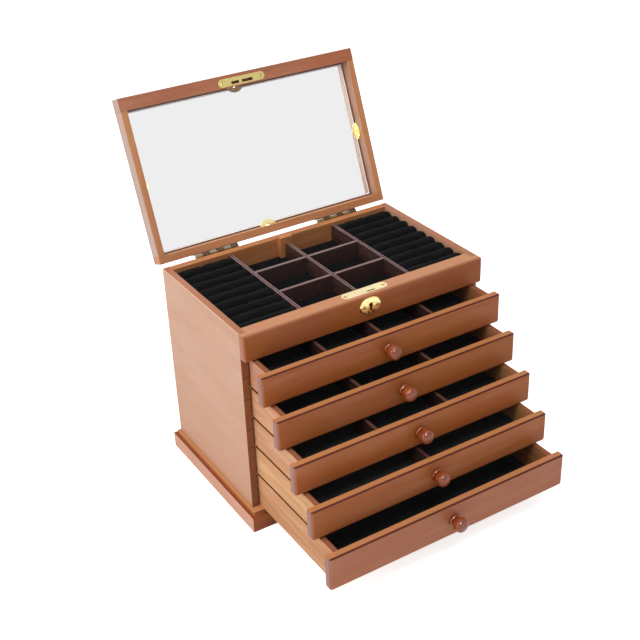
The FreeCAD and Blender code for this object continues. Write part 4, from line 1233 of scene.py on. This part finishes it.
@dataclass
class RingRolls:
    """A bank of velvet rolls, pressed side by side, that grip rings between them."""

    side: str
    count: int = 9
    gap: float = 0.5 * MM
    around: int = 28
    along: int = 46
    wall_steps: int = 4
    tucks: tuple[float, ...] = (0.93, 0.985)
    tuck_centre: float = 0.45
    foot_height: float = 0.5 * MM
    pressure: float = 4.0
    stiffness: float = 30.0
    slack: float = -0.02
    frames: int = 20
    reach: float = 1.2 * MM
    start_size: float = 0.97
    crest_height: float = 18 * MM

    def section(self, width: float, height: float) -> list[tuple[float, float]]:
        """The outline of one roll seen from its end.

        Args:
            width: the roll's width.
            height: the roll's height.

        Returns:
            The points of a flat foot, short walls and a round crest.
        """
        radius = width / 2
        wall = height - radius
        steps = self.wall_steps
        foot = (self.around - 2 * steps) // 4
        crest = self.around - 2 * steps - foot
        points = [(-radius + width * step / foot, 0.0) for step in range(foot)]
        points += [(radius, wall * step / steps) for step in range(steps)]
        turns = [math.pi * step / crest for step in range(crest)]
        points += [(radius * math.cos(turn), wall + radius * math.sin(turn)) for turn in turns]
        points += [(-radius, wall * (steps - step) / steps) for step in range(steps)]
        return points

    def blank(self, length: float, width: float, height: float) -> Piece:
        """One roll before it is filled: a closed tube whose ends are tucked in.

        Args:
            length: the roll's length.
            width: the roll's width.
            height: the roll's height.

        Returns:
            The roll's object.
        """
        outline = self.section(width * self.start_size, height * self.start_size)
        centre = height * self.tuck_centre
        shape = bmesh.new()
        rings = []
        for step in range(self.along + 1):
            share = step / self.along
            x = length * (share - 0.5)
            end = min(share, 1 - share) * self.along
            tuck = self.tucks[int(end)] if end < len(self.tucks) else 1.0
            rings.append([shape.verts.new((x, y * tuck, centre + (z - centre) * tuck))
                          for y, z in outline])
        for near, far in zip(rings, rings[1:]):
            for index in range(len(outline)):
                after = (index + 1) % len(outline)
                shape.faces.new((near[index], near[after], far[after], far[index]))
        for ring in (rings[0], rings[-1]):
            middle = shape.verts.new(sum((vertex.co for vertex in ring), Vector()) / len(ring))
            for index, vertex in enumerate(ring):
                shape.faces.new((vertex, ring[(index + 1) % len(ring)], middle))
        bmesh.ops.recalc_face_normals(shape, faces=shape.faces)
        mesh = bpy.data.meshes.new("roll_blank")
        shape.to_mesh(mesh)
        shape.free()
        blank = bpy.data.objects.new("roll_blank", mesh)
        bpy.context.scene.collection.objects.link(blank)
        return blank

    def fill(self, blank: Piece) -> bpy.types.Mesh:
        """Swells a roll with the pressure of its foam, its foot held by the card below it.

        Args:
            blank: the roll before it is filled; it is removed.

        Returns:
            The filled roll's mesh.
        """
        start = [vertex.co.copy() for vertex in blank.data.vertices]
        held = blank.vertex_groups.new(name="foot")
        foot = [index for index, place in enumerate(start) if place.z < self.foot_height]
        held.add(foot, 1.0, "REPLACE")
        cloth = blank.modifiers.new("filling", "CLOTH")
        cloth.settings.vertex_group_mass = "foot"
        cloth.settings.quality = 6
        cloth.settings.use_pressure = True
        cloth.settings.uniform_pressure_force = self.pressure
        cloth.settings.effector_weights.gravity = 0.0
        cloth.settings.tension_stiffness = self.stiffness
        cloth.settings.shrink_min = self.slack
        cloth.collision_settings.use_collision = False
        cloth.point_cache.frame_end = self.frames
        for number in range(1, self.frames + 1):
            bpy.context.scene.frame_set(number)
        graph = bpy.context.evaluated_depsgraph_get()
        mesh = bpy.data.meshes.new_from_object(blank.evaluated_get(graph))
        for vertex, place in zip(mesh.vertices, start):
            moved = vertex.co - place
            if moved.length > self.reach:
                vertex.co = place + moved * (self.reach / moved.length)
        bpy.context.scene.frame_set(1)
        bpy.data.objects.remove(blank)
        return mesh

    def build(self) -> Piece:
        """Makes the bank in place of its plain solid.

        Returns:
            The bank of rolls.
        """
        node = f"ring_rolls_{self.side}"
        low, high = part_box(node)
        pitch = (high.y - low.y + self.gap) / self.count
        width, height, length = pitch - self.gap, high.z - low.z, high.x - low.x
        filled = self.fill(self.blank(length, width, height))
        hand = random.Random(self.side)
        shape = bmesh.new()
        for number in range(self.count):
            copy = filled.copy()
            flip = -1.0 if number % 2 else 1.0
            self.settle(copy, hand, length)
            turn = Matrix.Diagonal((flip, flip, 1.0, 1.0))
            centre = Vector(((low.x + high.x) / 2, low.y + width / 2 + pitch * number, low.z))
            copy.transform(Matrix.Translation(centre) @ turn)
            shape.from_mesh(copy)
            bpy.data.meshes.remove(copy)
        self.hold_inside(shape, low, high)
        bank = new_piece(f"velvet_rolls_{self.side}", shape, TRAY_VELVET.material(), "case")
        smooth = bank.modifiers.new("soft_surface", "SUBSURF")
        smooth.levels = smooth.render_levels = 1
        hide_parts(node)
        return bank

    def settle(self, mesh: bpy.types.Mesh, hand: random.Random, length: float) -> None:
        """Gives one roll a bend and a few dents of its own.

        Args:
            mesh: the roll's mesh.
            hand: the random numbers of the whole bank.
            length: the roll's length.
        """
        bend, lift = hand.uniform(-0.5, 0.5) * MM, hand.uniform(-0.4, 0.3) * MM
        dents, full_turn = 3, 6.3
        waves = [(hand.uniform(2.0, 5.0), hand.uniform(0.0, full_turn), hand.uniform(0.05, 0.16) * MM)
                 for _ in range(dents)]
        for vertex in mesh.vertices:
            share = vertex.co.x / length
            top = max(0.0, vertex.co.z / self.crest_height)
            vertex.co.y += bend * math.cos(math.pi * share) * top
            ripple = sum(size * math.sin(rate * full_turn * share + start)
                         for rate, start, size in waves)
            vertex.co.z += (lift + ripple) * min(1.0, top)

    def hold_inside(self, shape: Shape, low: Vector, high: Vector) -> None:
        """Keeps every point of the bank within the space of its plain solid.

        Args:
            shape: the bank's shape.
            low: the solid's low corner.
            high: the solid's high corner.
        """
        for vertex in shape.verts:
            for axis in range(3):
                vertex.co[axis] = min(high[axis], max(low[axis], vertex.co[axis]))


@dataclass
class Case:
    """The outer case: plinth, panels, front rail and runners."""

    edge: float = 0.45 * MM

    def build(self) -> None:
        """Dresses every fixed wooden piece of the case."""
        plinth = dress_wood("plinth_frame", PLINTH_WOOD, Grain.MITRED, seed=3.0)
        panels = [dress_wood(f"side_panel_{side}", SIDE_WOOD, Grain.DEEP, seed)
                  for side, seed in (("left", 1.0), ("right", 2.0))]
        back = dress_wood("back_panel", CASE_WOOD, Grain.ACROSS, seed=4.0)
        dress_wood("front_rail", RAIL_WOOD, Grain.ACROSS, seed=5.0)
        base = dress_wood("base_panel", BARE_WOOD, Grain.ACROSS, seed=6.0)
        runners = dress_wood("drawer_runners", BARE_WOOD, Grain.DEEP, seed=7.0)
        post = dress_wood("divider_post", CASE_WOOD, Grain.UPRIGHT, seed=8.0)
        for piece in (plinth, *panels, back, base, runners, post):
            soften(piece, self.edge)


@dataclass
class Tray:
    """The ring tray under the lid: floor, dividers, linings and two banks of ring rolls."""

    edge: float = 0.35 * MM
    bars_at: tuple[float, float] = (0.32, 0.66)
    puff: float = 1.2 * MM

    def build(self) -> None:
        """Dresses the tray's boards and makes its velvet."""
        dress_wood("tray_floor", BARE_WOOD, Grain.ACROSS, seed=9.0)
        soften(dress_wood("tray_dividers", DIVIDER_WOOD, Grain.DEEP, seed=10.0), self.edge)
        low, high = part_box("tray_lining")
        post_low, post_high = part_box("divider_post")
        middle = (post_low.x + post_high.x) / 2
        bars = tuple(low.y + (high.y - low.y) * share for share in self.bars_at)
        lining = VelvetSheet(low, high, TRAY_VELVET, (middle,), bars, puff=self.puff, seed=11)
        lining.piece("tray_velvet", "case", "tray_lining", "tray_floor")
        for side in ("left", "right"):
            RingRolls(side).build()


@dataclass
class Drawer:
    """One drawer: front, turned knob, open box, velvet lining and dividers."""

    number: int
    edge: float = 0.4 * MM

    def build(self) -> None:
        """Dresses the drawer's wood and makes its velvet lining."""
        name = f"drawer_{self.number}"
        seed = 20.0 + 7 * self.number
        dress_wood(f"{name}_front", FRONT_WOODS[self.number - 1], Grain.ACROSS, seed)
        dress_wood(f"{name}_knob", KNOB_WOOD, Grain.DEEP, seed)
        soften(dress_wood(f"{name}_walls", WALL_WOODS[self.number - 1], Grain.DEEP, seed), self.edge)
        dress_wood(f"{name}_bottom", BARE_WOOD, Grain.ACROSS, seed)
        low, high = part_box(f"{name}_lining")
        bars: tuple[float, ...] = ()
        if f"{name}_dividers" in frame["nodes"]:
            soften(dress_wood(f"{name}_dividers", DRAWER_DIVIDER_WOOD, Grain.DEEP, seed), self.edge)
            bars = self.divider_places(f"{name}_dividers")
        lining = VelvetSheet(low, high, DRAWER_VELVET, bars, seed=self.number)
        lining.piece(f"{name}_velvet", name, f"{name}_lining", f"{name}_bottom")

    def divider_places(self, node: str) -> tuple[float, ...]:
        """The X of each divider's middle, from the places of its corners."""
        corners = sorted({round(vertex.co.x, 5) for vertex in frame["nodes"][node].data.vertices})
        return tuple((left + right) / 2 for left, right in zip(corners[::2], corners[1::2]))


@dataclass
class Lid:
    """The lid: a mitred frame, its top panel, the mirror and the clips that hold it."""

    edge: float = 0.45 * MM
    front_clip_share: float = 0.2

    def build(self) -> None:
        """Dresses the lid."""
        for node, finish, grain, seed in (
                ("lid_stiles", LID_WOOD, Grain.DEEP, 41.0),
                ("lid_front_rail", LID_FRONT_WOOD, Grain.ACROSS, 42.0),
                ("lid_rear_rail", CASE_WOOD, Grain.ACROSS, 43.0),
                ("lid_top_panel", LID_WOOD, Grain.ACROSS, 44.0)):
            soften(dress_wood(node, finish, grain, seed, Pose.LEANING), self.edge)
        dress("mirror", MIRROR.material(*self.closed_box("mirror")))
        # The front clip is painted dark in front of a set depth, as painted shade and a painted dark
        # reflection.
        clips_front, clips_rear = self.closed_box("mirror_clips")
        front_clip = clips_front.y + self.front_clip_share * (clips_rear.y - clips_front.y)
        dress("mirror_clips", SATIN_BRASS.material(Pose.LEANING, painted_shade_before=front_clip))
        dress("strike_plate", GOLD_BRASS.material(Pose.LEANING))
        dress("lid_brass_screws", SCREW_BRASS.material(Pose.LEANING))

    def closed_box(self, node: str) -> tuple[Vector, Vector]:
        """The low and high corners of a piece, turned as with the lid closed.

        Args:
            node: the CAD node's name.

        Returns:
            The two corners.
        """
        turn = Matrix.Rotation(lid_angle(), 3, "X")
        corners = [turn @ vertex.co for vertex in frame["nodes"][node].data.vertices]
        return tuple(Vector([pick(corner[axis] for corner in corners) for axis in range(3)])
                     for pick in (min, max))


@dataclass
class Fittings:
    """The hinges and the lock."""

    def build(self) -> None:
        """Dresses the metal pieces."""
        for node in ("hinge_case_leaves", "hinge_case_screws", "hinge_pins"):
            dress(node, AGED_BRASS.material())
        for node in ("hinge_lid_leaves", "hinge_lid_screws"):
            dress(node, DARK_BRASS.material(Pose.LEANING))
        dress("lock_face_plate", PLATE_BRASS.material())
        dress("escutcheon", BRASS.material())
        dress("lock_screws", SCREW_BRASS.material())
        # The bolt is dressed in dark brass as painted shade, standing in for the shade of a bolt set
        # deeper in its slot.
        dress("lock_bolt", DARK_BRASS.material())
        dress("lock_case", STEEL.material())


# Studio -------------------------------------------------------------------------------------


@dataclass(frozen=True)
class Lamp:
    """A square lamp, its place and size in metres and its power in watts."""

    name: str
    place: tuple[float, float, float]
    size: float
    power: float
    only_in_gloss: bool = False


LAMPS = (
    Lamp("side_lamp", (-1.5, 0.1, 0.9), size=1.3, power=19.0),
    Lamp("top_lamp", (-0.2, -0.5, 1.9), size=1.2, power=19.0),
    Lamp("glint_lamp", (-0.3, -1.5, 1.0), size=0.45, power=30.0, only_in_gloss=True),
)


@dataclass
class Studio:
    """Pale floor, lamps, white surroundings and the camera."""

    camera_place: tuple[float, float, float] = (-0.583, -0.9676, 0.8135)
    camera_azimuth: float = math.radians(30.88)
    camera_elevation: float = math.radians(29.75)
    camera_roll: float = math.radians(-2.31)
    lens: float = 64.53
    lamp_target: tuple[float, float, float] = (0.0, -0.05, 0.15)
    sky: float = 0.34
    floor_size: float = 6.0
    floor_grit: float = 400.0
    floor_dark: Colour = (0.86, 0.86, 0.86)
    floor_light: Colour = (0.9, 0.9, 0.9)
    floor_roughness: float = 0.9
    floor_gloss: float = 0.1
    floor_glow: float = 0.75

    def build(self) -> None:
        """Makes the whole studio."""
        self.make_world()
        self.make_floor()
        self.make_lamps()
        self.make_camera()
        bpy.context.scene.view_settings.view_transform = "Standard"

    def seen(self, graph: Graph) -> Socket:
        """Tells the rays that show the surroundings from those that light the object.

        Args:
            graph: the material's graph.

        Returns:
            1 for a ray from the camera, in gloss or through glass, and 0 for any other.
        """
        ray = graph.add("LightPath").outputs
        gloss = graph.math("MAXIMUM", ray["Is Glossy Ray"], ray["Is Transmission Ray"])
        return graph.math("MAXIMUM", ray["Is Camera Ray"], gloss)

    def make_world(self) -> None:
        """White surroundings that light the object softly."""
        world = bpy.data.worlds.new("surroundings")
        world.use_nodes = True
        bpy.context.scene.world = world
        graph = Graph(world.node_tree)
        background = world.node_tree.nodes["Background"]
        strength = graph.ramp(self.seen(graph), 0.0, 1.0, self.sky, 1.0)
        graph.feed(background.inputs["Color"], rgba((1.0, 1.0, 1.0)))
        graph.feed(background.inputs["Strength"], strength)

    def make_floor(self) -> None:
        """A pale floor that keeps a faint shadow."""
        half = self.floor_size / 2
        mesh = bpy.data.meshes.new("floor")
        corners = [(-half, -half, 0.0), (half, -half, 0.0), (half, half, 0.0), (-half, half, 0.0)]
        mesh.from_pydata(corners, [], [(0, 1, 2, 3)])
        floor = bpy.data.objects.new("floor", mesh)
        bpy.context.scene.collection.objects.link(floor)
        graph, shader = new_material("floor_paper")
        grit = graph.noise(graph.add("TexCoord").outputs["Object"], self.floor_grit)
        colour = graph.blend(grit, rgba(self.floor_dark), rgba(self.floor_light))
        graph.feed(shader.inputs["Base Color"], colour)
        shader.inputs["Roughness"].default_value = self.floor_roughness
        shader.inputs["Specular IOR Level"].default_value = self.floor_gloss
        shader.inputs["Emission Color"].default_value = rgba((1.0, 1.0, 1.0))
        glow = graph.product(self.seen(graph), self.floor_glow)
        graph.feed(shader.inputs["Emission Strength"], glow)
        mesh.materials.append(bpy.data.materials["floor_paper"])
        floor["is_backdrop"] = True

    def make_lamps(self) -> None:
        """A large soft lamp on the left, one above, and a small one that shows only in gloss."""
        for lamp in LAMPS:
            data = bpy.data.lights.new(lamp.name, "AREA")
            data.size, data.energy = lamp.size, lamp.power
            stand = bpy.data.objects.new(lamp.name, data)
            bpy.context.scene.collection.objects.link(stand)
            stand.visible_diffuse = not lamp.only_in_gloss
            stand.location = lamp.place
            aim = Vector(self.lamp_target) - Vector(lamp.place)
            stand.rotation_euler = aim.to_track_quat("-Z", "Y").to_euler()

    def make_camera(self) -> None:
        """The camera, in front of the box and to its left, looking down on it."""
        azimuth, elevation = self.camera_azimuth, self.camera_elevation
        level = math.cos(elevation)
        back = Vector((-math.sin(azimuth) * level, -math.cos(azimuth) * level, math.sin(elevation)))
        right = (-back).cross(Vector((0.0, 0.0, 1.0))).normalized()
        upward = back.cross(right)
        turn, rise = math.cos(self.camera_roll), math.sin(self.camera_roll)
        axes = (turn * right + rise * upward, turn * upward - rise * right, back)
        data = bpy.data.cameras.new("camera")
        data.lens = self.lens
        camera = bpy.data.objects.new("camera", data)
        bpy.context.scene.collection.objects.link(camera)
        turned = Matrix(axes).transposed().to_4x4()
        camera.matrix_world = Matrix.Translation(self.camera_place) @ turned
        bpy.context.scene.camera = camera


def main() -> None:
    """Builds every sub-assembly, then the studio."""
    logging.basicConfig(level=logging.INFO, format="%(name)s: %(message)s")
    drawers = [Drawer(number) for number in range(1, 6)]
    for part in (Case(), Tray(), *drawers, Lid(), Fittings(), Studio()):
        part.build()
        LOG.info("built %s", part)


if __name__ == "__main__":
    main()
    boxes = [[list(corner) for corner in box] for box in (cad_box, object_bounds())]
